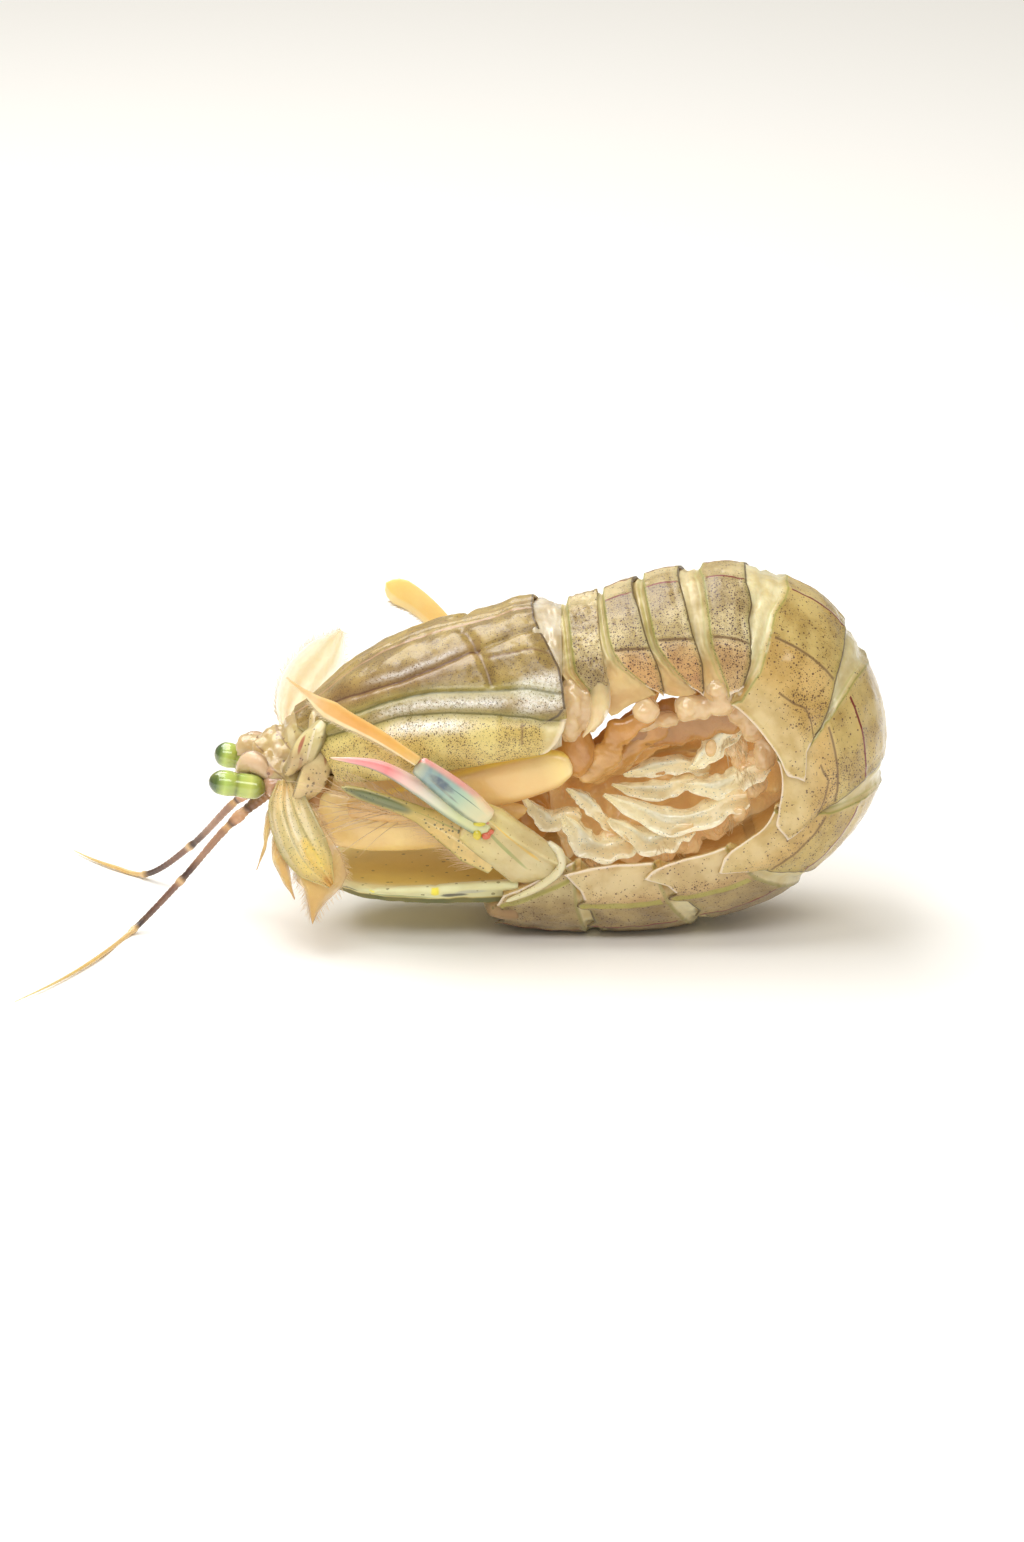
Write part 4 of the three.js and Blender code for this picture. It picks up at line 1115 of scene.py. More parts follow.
def whipTree():
    # a ringed whip along a path whose girth is an attribute
    inputs = {
        "Path": ("Geometry", None), "Sides": ("Int", 12), "Ring length": ("Float", 0.0005),
        "Ring depth": ("Float", 0.1), "Finish": ("Material", None),
    }
    tree, given, final, known = nodeGroup("ringedWhip", "GeometryNodeTree", inputs, {"Whip": "Geometry"})
    curve = addNode(tree, "GeometryNodeMeshToCurve", {"Mesh": given["Path"]}).outputs[0]
    walked = addNode(tree, "GeometryNodeSplineParameter").outputs["Length"]
    phase = mathNode(tree, "FRACT", mathNode(tree, "DIVIDE", walked, given["Ring length"]))
    notch = times(tree, mathNode(tree, "POWER", phase, 4.0), given["Ring depth"])
    radius = times(tree, named(tree, "girth"), mathNode(tree, "SUBTRACT", 1.0, notch))
    endNodes(tree, tubeNodes(tree, curve, radius, given["Sides"], 1.0), given, final)
    return tree, known


bristleNodes, whipNodes = bristleTree(), whipTree()


def grownMesh(name, start, nodes, values):
    # the plain mesh that Geometry Nodes make of a start mesh
    tree, known = nodes
    holder = bpy.data.objects.new(name + "_start", start)
    scene.collection.objects.link(holder)
    modifier = holder.modifiers.new("grow", "NODES")
    modifier.node_group = tree
    for label, value in values.items():
        modifier[known[label]] = value
    ready = bpy.data.meshes.new_from_object(holder.evaluated_get(bpy.context.evaluated_depsgraph_get()))
    holder.modifiers.clear()
    bpy.data.objects.remove(holder)
    if not ready.materials:
        ready.materials.append(values["Finish"])
    ready.name = name
    return ready


def bristles(name, spots, ways, look, material):
    # one bristle on each spot, pointing along its way, all in millimetres
    spots = np.asarray(spots, float).reshape(-1, 3)
    start = bpy.data.meshes.new(name + "_spots")
    start.from_pydata((spots * mm).tolist(), [], [])
    addField(start, "way", np.broadcast_to(ways, spots.shape), "FLOAT_VECTOR", "vector")
    addField(start, "size", np.ones(len(spots)))
    values = {
        "Length": look["length"] * mm, "Thickness": look["thickness"] * mm, "Bend": look.get("bend", 0.2),
        "Spread": look["spread"], "Seed": look["seed"], "Finish": material,
    }
    return showPiece(name, grownMesh(name, start, bristleNodes, values), ())


hairLook = {
    "tones": [(0.0, "#e8c898"), (1.0, "#e8c898")], "patchTone": "#c99a68", "patchStrength": 0.3,
    "rough": 0.4, "glow": 0.3, "coat": 0.2,
}
goldHair = fleshMaterial("gold_hair", hairLook)
paleHairLook = dict(hairLook, tones=[(0.0, "#f0dcae"), (1.0, "#f0dcae")], patchTone="#e0bc80")
paleHair = fleshMaterial("pale_hair", paleHairLook)


def leafPiece(name, shape, material, stands=(), relief=None):
    # a thin leaf; its left and right margins may have a reach of their own, and the middle sheet comes back
    shape = leafGrid | shape
    centre, side, normal, wide, thick = limbFrames(shape)
    along = np.linspace(0, 1, shape["steps"] + 1)[:, None]
    w = np.linspace(-1, 1, 2 * shape["half"] + 1)[None, :]

    def reach(key):
        return knots(shape[key], along[:, 0]) if key in shape else wide / 2

    out = np.where(w < 0, reach("left")[:, None], reach("right")[:, None]) * w
    along, across = along + 0 * out, w + 0 * out
    lift = relief(along, across) if relief else 0 * out
    body = thick[:, None] / 2 * np.sqrt(np.clip(1 - w**2, 0.02, 1))
    middle = centre[:, None] + side[:, None] * out[..., None] + normal[:, None] * lift[..., None]
    top = middle + normal[:, None] * body[..., None]
    under = middle - normal[:, None] * body[..., None]
    points = np.concatenate([top, under[:, ::-1]], 1)
    along, across = (np.concatenate([values, values[:, ::-1]], 1) for values in (along, across))
    fields = {"along": along, "across": across, "thin": smooth(np.abs(across), 0.35, 1.0)}
    makePiece(name, points, material, stands, fields)
    return middle


def fringe(name, middle, edge, look, material):
    # hairs along one margin of a leaf; edge is -1 for its left margin and 1 for its right
    rows = len(middle)
    column = 0 if edge < 0 else middle.shape[1] - 1
    at = np.linspace(look["from"], look["to"], look["count"]) * (rows - 1)
    low = np.clip(at.astype(int), 0, rows - 2)
    part = (at - low)[:, None]
    spots, inner = (
        middle[low, k] * (1 - part) + middle[low + 1, k] * part for k in (column, middle.shape[1] // 2)
    )
    out = spots - inner
    out /= np.maximum(np.linalg.norm(out, axis=1, keepdims=True), 0.05)
    ahead = middle[np.minimum(low + 1, rows - 1), column] - middle[low, column]
    ahead /= np.maximum(np.linalg.norm(ahead, axis=1, keepdims=True), 1e-6)
    return bristles(name, spots, out + look["forward"] * ahead, look, material)


# The leaf-shaped scales beside the mouth, with their soft skirts and hairs
scaleLook = {
    "tones": [(0.0, "#e0b878"), (0.2, "#dcc48c"), (0.6, "#dcca90"), (0.82, "#e8ca74"), (1.0, "#e8b86c")],
    "edge": (0.6, 0.98, 0.75, "#8a8052"), "otherEdge": (0.6, 0.98, 0.75, "#8a8052"),
    "marks": [
        (0.5, 0.28, 0.4, 0.06, 0.2, 0.5, "#8f8654"), (0.5, -0.28, 0.4, 0.06, -0.2, 0.5, "#8f8654"),
        (0.42, 0.0, 0.36, 0.16, 0, 0.6, "#f2e8c8"), (0.74, 0.1, 0.2, 0.34, 0, 0.75, "#f0cc60"),
        (0.97, 0.0, 0.06, 0.9, 0, 0.8, "#dc9c50"),
    ],
    "patchTone": "#b4a66c", "patchStrength": 0.4, "patch": 1.6, "dots": (0.16, 0.5, "#6a6444"),
    "rough": 0.32, "bump": 0.6, "depth": 0.3, "glow": 0.5, "coat": 0.5,
}
scaleMaterial = fleshMaterial("scale_olive", scaleLook)
skirtLook = {
    "tones": [(0.0, "#e2bf8a"), (0.6, "#e6b878"), (1.0, "#d99a5c")], "patchTone": "#cf9660",
    "patchStrength": 0.5, "patch": 2.0, "rough": 0.35, "glow": 0.6, "coat": 0.4, "clear": (0.62, 0.92),
    "bump": 0.8, "depth": 0.3,
}
skirtMaterial = fleshMaterial("scale_skirt", skirtLook)
nearScale = {
    "path": [(-16.7, -4.7, 16.5), (-16.3, -7.1, 14.0), (-14.7, -9.2, 10.7), (-12.1, -10.5, 7.3)],
    "across": (1, 0, 0.3), "wide": [1.6, 3.7, 4.6, 4.8, 4.0, 0.7], "thick": [0.9, 0.9, 0.8, 0.7, 0.3],
    "steps": 64, "half": 18,
}
nearSkirt = {
    "path": [(-16.4, -4.6, 16.0), (-15.6, -7.4, 12.4), (-14.3, -9.6, 8.2), (-14.0, -11.0, 3.4)],
    "across": (1, 0, 0.12), "wide": [2, 2], "thick": [0.22, 0.2, 0.16, 0.08],
    "left": [
        (0, 0.8), (0.1, 1.8), (0.3, 2.4), (0.45, 2.2), (0.56, 1.8), (0.62, 1.3), (0.7, 1.4), (0.76, 0.7),
        (0.84, 0.5), (0.92, 0.3), (1, 0.03),
    ],
    "right": [
        (0, 0.8), (0.1, 1.5), (0.3, 2.5), (0.45, 2.9), (0.6, 3.5), (0.7, 3.7), (0.77, 3.0), (0.85, 1.5),
        (0.92, 0.6), (0.97, 0.25), (1, 0.03),
    ],
    "steps": 90, "half": 16,
}
lobes = [
    {
        "path": [(-17.2, -7.6, 12.4), (-17.4, -8.6, 10.4), (-16.8, -9.4, 8.2), (-15.8, -9.9, 5.6)],
        "across": (1, 0, 0.3), "wide": [0.6, 1.3, 1.5, 1.3, 0.7, 0.1], "thick": [0.2, 0.2, 0.16, 0.1],
    },
    {
        "path": [(-17.9, -6.0, 14.6), (-18.5, -7.0, 12.4), (-18.8, -7.8, 10.4), (-19.6, -8.4, 8.2)],
        "across": (1, 0, 0.3), "wide": [0.5, 0.8, 0.5, 0.3, 0.08], "thick": [0.16, 0.14, 0.1],
    },
]
lobeGrid = {"steps": 50, "half": 8}
farScale = {
    "path": [
        (-16.6, 4.4, 18.0), (-16.3, 6.6, 19.8), (-14.9, 7.9, 22.4), (-12.9, 8.8, 24.8), (-11.2, 9.4, 27.2),
    ],
    "across": (1, 0, -0.6), "wide": [1.4, 3.4, 4.9, 4.3, 0.7], "thick": [0.8, 0.7, 0.6, 0.5, 0.2],
    "steps": 50, "half": 12,
}
scaleHairs = {
    "length": 0.8, "thickness": 0.035, "spread": 0.25, "seed": 4,
    "from": 0.1, "to": 0.97, "count": 130, "forward": 0.9,
}
paleLook = dict(
    skirtLook, tones=[(0.0, "#e8d4a8"), (0.5, "#f2e4c0"), (1.0, "#f4e6c4")], patchTone="#ead6ac",
    clear=(0.25, 0.62), through=0.15,
)


def scaleRelief(along, across):
    veins = 0.12 * np.cos(across * 9.0 + 0.8 * along) * smooth(1 - np.abs(across), 0.02, 0.25)
    return 0.55 * (1 - across**2) + veins


def skirtRelief(along, across):
    return 0.3 * np.sin(along * 21 + across * 2.2) * smooth(np.abs(across), 0.4, 1.0) - 0.15


leafPiece("scale_left_leaf", nearScale, scaleMaterial, (), lambda s, w: -scaleRelief(s, w))
margin = leafPiece("scale_left_skirt", nearSkirt, skirtMaterial, ["scale_left"], skirtRelief)
for letter, shape in zip("ab", lobes):
    leafPiece("scale_left_lobe_" + letter, shape | lobeGrid, skirtMaterial, (), skirtRelief)
for letter, edge, look in (("a", -1, dict(scaleHairs, length=0.9, seed=3, to=0.95)), ("b", 1, scaleHairs)):
    fringe("scale_left_hairs_" + letter, margin, edge, look, goldHair)
paleLeaf = fleshMaterial("scale_pale", paleLook)
margin = leafPiece("scale_right_leaf", farScale, paleLeaf, ["scale_right"], scaleRelief)
for letter, edge in (("a", -1), ("b", 1)):
    look = dict(scaleHairs, thickness=0.03, spread=0.3, seed=8 + edge, to=1.0, count=120, forward=0.8)
    fringe("scale_right_hairs_" + letter, margin, edge, look, paleHair)
print("scales done")


def whip(name, path, spec, material, stands=()):
    # a thick jointed stalk that ends in a fine ringed whip
    count = spec["points"]
    path = np.array(path, float) + (0, midY, 0)
    spots = splinePoints(path, np.linspace(0, len(path) - 1, count))
    part = np.linspace(0, 1, count)
    start = bpy.data.meshes.new(name + "_path")
    start.from_pydata((spots * mm).tolist(), [(k, k + 1) for k in range(count - 1)], [])
    for label, values in (("girth", knots(spec["girths"], part) / 2 * mm), ("along", part)):
        addField(start, label, values)
    for label in ("across", "thin"):
        addField(start, label, np.zeros(count))
    values = {"Sides": spec["sides"], "Ring length": spec["ring"] * mm, "Ring depth": spec["depth"]}
    values["Finish"] = material
    return showPiece(name, grownMesh(name, start, whipNodes, values), stands)


feelerLook = {
    "tones": [
        (0.0, "#caa074"), (0.06, "#a07a5c"), (0.09, "#54382a"), (0.105, "#dcb08a"), (0.14, "#d8a884"),
        (0.155, "#523628"), (0.168, "#d8b07c"), (0.185, "#a27c64"), (0.26, "#a2806c"), (0.3, "#563a30"),
        (0.325, "#44302a"), (0.337, "#e2c090"), (0.35, "#7e5c4c"), (0.42, "#644840"), (0.485, "#403028"),
        (0.505, "#e0c08a"), (0.6, "#d8b26c"), (0.8, "#d8b878"), (1.0, "#e6d09c"),
    ],
    "patchTone": "#b08860", "patchStrength": 0.2, "patch": 1.2, "rough": 0.3, "glow": 0.3, "coat": 0.5,
}
feelerMaterial = fleshMaterial("feeler_brown", feelerLook)
feelers = {
    "left": [
        (-18.2, -2.4, 14.6), (-22.5, -3.1, 10.9), (-27.2, -3.7, 5.4), (-31.9, -4.6, 0.55),
        (-35.5, -12.5, 0.35), (-38.9, -18.4, 0.3), (-43.1, -24.3, 0.3),
    ],
    "right": [
        (-18.4, 2.2, 14.4), (-21.9, 3.0, 11.3), (-26.5, 7.0, 5.1), (-31.3, 10.9, 0.55), (-34.6, 13.6, 0.35),
        (-36.6, 15.7, 0.3), (-38.8, 18.5, 0.3),
    ],
    "girths": [
        (0, 1.5), (0.06, 1.2), (0.1, 1.0), (0.125, 1.3), (0.15, 1.0), (0.165, 0.75), (0.18, 0.85),
        (0.25, 0.75), (0.32, 0.68), (0.337, 0.92), (0.35, 0.7), (0.42, 0.66), (0.49, 0.6), (0.505, 0.8),
        (0.52, 0.52), (0.7, 0.42), (0.85, 0.28), (1, 0.1),
    ],
    "points": 260, "sides": 12, "ring": 0.55, "depth": 0.16,
}
for sideName, sign in sides:
    name = "feeler_" + sideName
    whip(name + "_whip", feelers[sideName], feelers, feelerMaterial, [name])
print("feelers done")

# The tail plate, with its hollow side up
telson = {
    "rows": 90, "half": 70, "reach": 96,
    "teeth": [0.83, 1.84],  # their places
    "wall": 0.7, "depth": 0.08, "belly": 10,
}
# through gives the hollow a painted glow that brightens its shade
telsonLook = {
    "tones": [(0.0, "#ae9438"), (0.2, "#bea442"), (0.5, "#caaf4c"), (1.0, "#d2ba5e")], "through": 0.16,
    "edge": (0.7, 0.78, 0.95, "#d8d8ac"), "patchTone": "#a89048", "patchStrength": 0.25, "patch": 6.0,
    "dots": (0.5, 0.1, "#6e6430"), "rough": 0.5, "bump": 0.4, "depth": 0.2, "glow": 0.3, "coat": 0.2,
    "coatRough": 0.25, "coatIndex": 1.4,
    "marks": [
        (0.315, 0.93, 0.02, 0.12, 0, 0.95, "#e6d848"), (0.62, 0.93, 0.02, 0.12, 0, 0.95, "#eae068"),
        (0.24, 0.82, 0.06, 0.06, 0, 0.9, "#3c4650"), (0.83, 0.8, 0.12, 0.05, 0, 0.8, "#4a5a4c"),
        (0.48, 0.77, 0.18, 0.035, 0, 0.6, "#6f7f4c"), (0.18, 0.9, 0.07, 0.05, 0, 0.7, "#b4b8b0"),
        (0.5, 0.68, 0.9, 0.06, 0, 0.9, "#46543c"), (0.5, 2.2, 1.2, 1.0, 0, 1.0, "#c6aa50"),
        (0.5, 1.9, 1.2, 0.5, 0, 0.4, "#c8b05a"), (0.5, 0.34, 1.2, 0.34, 0, 0.95, "#86805c"),
    ],
}
telsonMaterial = fleshMaterial("telson_olive", telsonLook)


def buildTelson():
    part = np.linspace(0, 1, telson["rows"])[:, None]
    turn = np.linspace(-1, 1, 2 * telson["half"] + 1)[None, :] * telson["reach"] + 0 * part
    place = -0.3 + 3.27 * (1 - (1 - part) ** 1.12) + 0 * turn
    ease = np.sqrt(np.clip(1 - part**2.6, 0.02, 1))
    turn = turn * (0.35 + 0.65 * ease**0.6)
    size = np.abs(turn)
    ridge = 0.28 * hump(size - 62, 4) + 0.7 * hump(size - 92, 7)
    tooth = sum(hump(place - at, 0.05) for at in telson["teeth"])
    flat = archPoints(telsonJoints, place, turn)
    lift = ridge + 0.45 * tooth * smooth(size, 78, 92) + 0.06 * waves(flat, 3.0, 77)
    points = plateSections(telsonJoints, place, turn, lift, telson)
    # across is 0 to 1 on the back, and 1.2 to 2.2 on the hollow side, so that marks tell them apart
    inner = 2.2 - np.abs(np.linspace(1, -1, points.shape[1] - turn.shape[1])) + 0 * part
    fields = {"along": part, "across": np.concatenate([size / telson["reach"], inner], 1), "thin": 0.0}
    makePiece("telson_plate", points, telsonMaterial, ["telson"], fields)


buildTelson()
neck = {
    "path": [(2.8, 0, 3.9), (5.0, 0, 3.7), (7.4, 0, 3.8)], "across": (0, 1, 0), "wide": [14.4, 16.4, 16.4],
    "thick": [3.0, 4.0, 4.4], "sides": 48, "steps": 20, "boxy": 0.8, "cap": 0.25,
}
neckLook = dict(
    telsonLook, tones=[(0.0, "#b09868"), (1.0, "#a88c60")], edge=(1.2, 1.4, 0.0, "#dcdcae"),
    marks=[(0.5, 0.9, 0.6, 0.3, 0, 0.6, "#7a8468")], patchTone="#8c5a44", patchStrength=0.35, through=0.0,
)
limbPiece("telson_neck", neck, fleshMaterial("neck_olive", neckLook), ())
print("telson done")

# Mouth parts and folded claws; ripple is the height, size and seed of their uneven skin
# through gives the clasp flesh a painted glow that lightens its shaded parts
claspLook = {
    "tones": [(0.0, "#e6ce8e"), (0.4, "#e4c882"), (1.0, "#dab26a")], "through": 0.24,
    "patchTone": "#c8a068", "patchStrength": 0.4, "patch": 5.0, "rough": 0.3, "bump": 0.8, "depth": 0.3,
    "glow": 0.5, "coat": 0.7,
}
claspMaterial = fleshMaterial("clasp_tan", claspLook)
# the top edge is a yellow line of the arm's own; the darker other edge is painted shade under the arm
armLook = dict(
    claspLook,
    tones=[(0.0, "#e4cf98"), (0.05, "#e8d088"), (0.14, "#dcbc7c"), (0.5, "#dab878"), (1.0, "#ceac70")],
    edge=(0.8, 0.97, 0.9, "#f4dc64"), otherEdge=(0.5, 0.95, 0.5, "#c08c48"), patchTone="#dcaa68",
    patchStrength=0.3,
)
armMaterial = fleshMaterial("arm_cream", armLook)
mouth = {
    "path": [(-13.6, 0, 14.4), (-6, 0, 15.2), (2, 0, 16.6), (8.6, 0, 18.4)], "across": (0, 1, 0),
    "wide": [6, 8.6, 8.6, 6.6], "thick": [4.6, 6.2, 6.6, 5.2], "sides": 40, "steps": 80, "boxy": 0.8,
    "cap": 0.08, "ripple": (0.07, 2.6, 12),
}
arm = {
    "path": [(11.9, -7.7, 19.3), (4.6, -7.6, 17.2), (-3.3, -6.9, 14.9), (-10.6, -5.6, 13.6)],
    "across": (0, 0, 1), "wide": [1.8, 4.0, 4.4, 4.6, 4.6, 4.5, 4.3, 4.0, 3.6, 3.2, 2.7, 2.2],
    "thick": [2.0, 2.6, 2.4, 1.8], "sides": 32, "steps": 80, "boxy": 0.66, "cap": 0.02,
}
hand = {
    "path": [(-14.1, -4.9, 12.9), (-8.0, -5.8, 12.1), (0, -6.2, 12.3), (7.4, -5.9, 13.8)],
    "across": (0, 0, 1), "wide": [5.8, 5.5, 4.4, 1.6], "thick": [1.4, 2.2, 2.0, 0.8], "steps": 70,
    "boxy": 0.8, "cap": 0.1,
}
limbPiece("mouth_mass", mouth, claspMaterial, ["mouthparts"])
for (sideName, armShape), (_, handShape) in zip(bothSides(arm), bothSides(hand)):
    name = "claw_" + sideName
    limbPiece(name + "_forearm", armShape, armMaterial, [name + "_arm"])
    limbPiece(name + "_finger", handShape, claspMaterial, [name + "_hand"])
chestShape = {
    "path": [(12.9, 0, 28.2), (12.4, 0, 22.4), (10.9, 0, 17.2)], "across": (0, 1, 0), "wide": [12, 11, 7],
    "thick": [3.8, 3.8, 1.6], "sides": 36, "boxy": 0.9, "cap": 0.08, "ripple": (0.08, 2.4, 22),
}
innerLook = dict(
    claspLook, tones=[(0.0, "#d4a468"), (0.5, "#c8944e"), (1.0, "#bc8644")], patchTone="#94602c",
    patchStrength=0.55, patch=6.0, through=0.18, glow=0.6,
)
innerMaterial = fleshMaterial("inner_orange", innerLook)
limbPiece("chest_flesh", chestShape, innerMaterial, ["chest"])
throat = {
    "balls": [
        ((7.2, 3.0, 11.4), (2.8, 1.8, 2.1)),
        ((7.4, 0.6, 12.0), (2.2, 2.6, 2.0)),
        ((12.4, 6.6, 20.2), (1.7, 1.6, 2.8)),
        ((9.4, 5.0, 20.0), (2.6, 2.2, 1.7)),
        ((-13.8, 4.0, 14.3), (1.8, 1.6, 1.8)),
    ],
    "voxel": 0.25, "ripple": 0.1, "rounds": 4,
}
balls = throat["balls"] + [((x, -y, z), radii) for (x, y, z), radii in throat["balls"]]
softLumps("throat_flesh", balls, throat, innerMaterial, ())
legLook = dict(
    claspLook, tones=[(0.0, "#cc9c5e"), (0.5, "#c48e4a"), (1.0, "#d4ae70")], patchTone="#a4702c",
    patchStrength=0.5, patch=3.0, rough=0.22, through=0.2,
)
legMaterial = fleshMaterial("leg_orange", legLook)
legs = {
    "roots": [(19.7, 6.6, 12.6), (23.7, 4.4, 13.2), (27.2, 2.2, 13.8)],  # root x, y, foot x
    "drop": 0.9,  # how much lower each foot lies
    # knots from the root to the foot: which x they follow, how far from it, and z
    "near": [(0, 0.0, 26.9), (0, -0.5, 23.9), (0, -3.4, 21.8), (1, 2.5, 19.3), (1, 0.0, 17.0)],
    "far": [(0, 0.0, 26.9), (0, -0.2, 21.8), (0, -1.8, 17.8), (1, 3.2, 16.3), (1, 0.2, 15.0)],
    "wide": [1.3, 1.5, 1.6, 1.4, 0.7], "thick": [1.5, 1.7, 2.6, 2.6, 0.9],
    "across": (0, 1, 0), "sides": 24, "steps": 70, "cap": 0.04, "rings": (0.1, 26),
}
for index, (rootX, away, footX) in enumerate(legs["roots"]):
    for sideName, sign in sides:
        path = [
            ((footX if atFoot else rootX) + ahead, sign * away, z - atFoot * legs["drop"] * index)
            for atFoot, ahead, z in legs["near" if sign < 0 else "far"]
        ]
        name = "leg_" + sideName + "_" + str(index + 1)
        shape = dict(legs, path=path, ripple=(0.12, 1.6, 40 + index))
        limbPiece(name + "_limb", shape, legMaterial, [name])
print("claws and legs done")

# The tail fan: stem, spine and three leaves on each side
fanBaseLook = {
    "tones": [(0.0, "#d2c290"), (0.4, "#d8c896"), (0.75, "#dccb8a"), (0.9, "#d8c87c"), (1.0, "#d8ba80")],
    "patchTone": "#c4ac70", "patchStrength": 0.5, "patch": 2.6, "dots": (0.25, 0.1, "#a58a50"),
    "rough": 0.3, "glow": 0.4, "bump": 0.8, "depth": 0.25, "coat": 0.7,
    "marks": [
        (0.5, 0.05, 0.3, 0.07, 0.5, 0.85, "#e8be48"), (0.55, -0.3, 0.3, 0.06, 0.4, 0.8, "#8fa050"),
        (0.86, 0.25, 0.09, 0.14, 0, 0.9, "#a0a838"), (0.9, -0.05, 0.08, 0.14, 0, 0.95, "#e2c22c"),
        (0.82, -0.02, 0.06, 0.13, 0, 1.0, "#d8584a"),
    ],
}
fanBaseMaterial = fleshMaterial("fan_cream", fanBaseLook)
spineLook = {
    "tones": [
        (0.0, "#d9d69a"), (0.2, "#cfd8a0"), (0.42, "#e3e0cc"), (0.6, "#f0c4bc"), (0.7, "#f08a8e"),
        (0.9, "#f5a0a4"), (1.0, "#f0c8a0"),
    ],
    "edge": (0.6, 0.95, 0.3, "#f0e8d8"), "otherEdge": (0.3, 0.9, 0.85, "#6f8f7c"), "patchTone": "#f0c8b8",
    "patchStrength": 0.15, "rough": 0.25, "glow": 0.3, "coat": 0.8,
}
spineMaterial = fleshMaterial("fan_spine_pink", spineLook)
outerLook = {
    "tones": [
        (0.0, "#ead8a8"), (0.2, "#dcd8ac"), (0.4, "#b0c8ac"), (0.55, "#8fb0a8"), (0.7, "#80a0a4"),
        (0.84, "#7d98a0"), (0.95, "#b4b49c"), (1.0, "#a8a08c"),
    ],
    "edge": (0.5, 0.85, 0.9, "#f09a96"), "otherEdge": (0.55, 0.85, 0.75, "#3f5a44"), "patchTone": "#c8d4b4",
    "patchStrength": 0.3, "patch": 1.6, "rough": 0.25, "glow": 0.2, "coat": 0.8,
    "marks": [
        (0.66, 0.05, 0.2, 0.4, 0, 0.9, "#4a586c"), (0.6, -0.3, 0.25, 0.12, 0.3, 0.6, "#6e6a64"),
        (0.42, 0.25, 0.3, 0.05, -0.2, 0.7, "#4a7068"), (0.1, 0.75, 0.25, 0.5, 0, 0.8, "#f0d8a8"),
    ],
}
outerMaterial = fleshMaterial("fan_outer_blue", outerLook)
bladeLook = {
    "tones": [
        (0.0, "#e2c480"), (0.1, "#e8b860"), (0.4, "#eab05c"), (0.62, "#ecbc74"), (0.75, "#eecca0"),
        (1.0, "#dcb88c"),
    ],
    "otherEdge": (0.35, 0.6, 0.9, "#f6e2b8"), "edge": (0.7, 1.0, 0.4, "#f4c890"), "patchTone": "#dca050",
    "patchStrength": 0.3, "patch": 1.6, "rough": 0.4, "glow": 0.4, "coat": 0.4,
}
bladeMaterial = fleshMaterial("fan_blade_orange", bladeLook)
farBladeMaterial = fleshMaterial(
    "fan_blade_pale",
    dict(
        bladeLook, tones=[(0.0, "#f4cc88"), (0.5, "#f8d890"), (1.0, "#f6d488")], patchTone="#f4c878",
        through=0.2,
    ),
)
fanInnerLook = {
    "tones": [(0.0, "#e2c684"), (0.3, "#dec078"), (0.5, "#dcbc70"), (0.6, "#ccb466"), (1.0, "#a8a064")],
    "edge": (0.8, 1.0, 0.5, "#c8b86c"), "otherEdge": (0.8, 1.0, 0.6, "#9c9858"),
    "marks": [
        (0.82, 0.0, 0.2, 0.95, 0, 0.9, "#5a6642"), (0.8, 0.1, 0.15, 0.4, 0, 0.6, "#8a9268"),
        (0.35, 0.3, 0.4, 0.08, 0, 0.6, "#a4a050"), (0.3, -0.2, 0.35, 0.1, 0, 0.5, "#f0dca4"),
    ],
    "patchTone": "#8c8450", "patchStrength": 0.2, "patch": 1.0, "dots": (0.3, 0.4, "#3c4434"),
    "rough": 0.35, "glow": 0.4, "coat": 0.5,
}
fanInnerMaterial = fleshMaterial("fan_inner_olive", fanInnerLook)
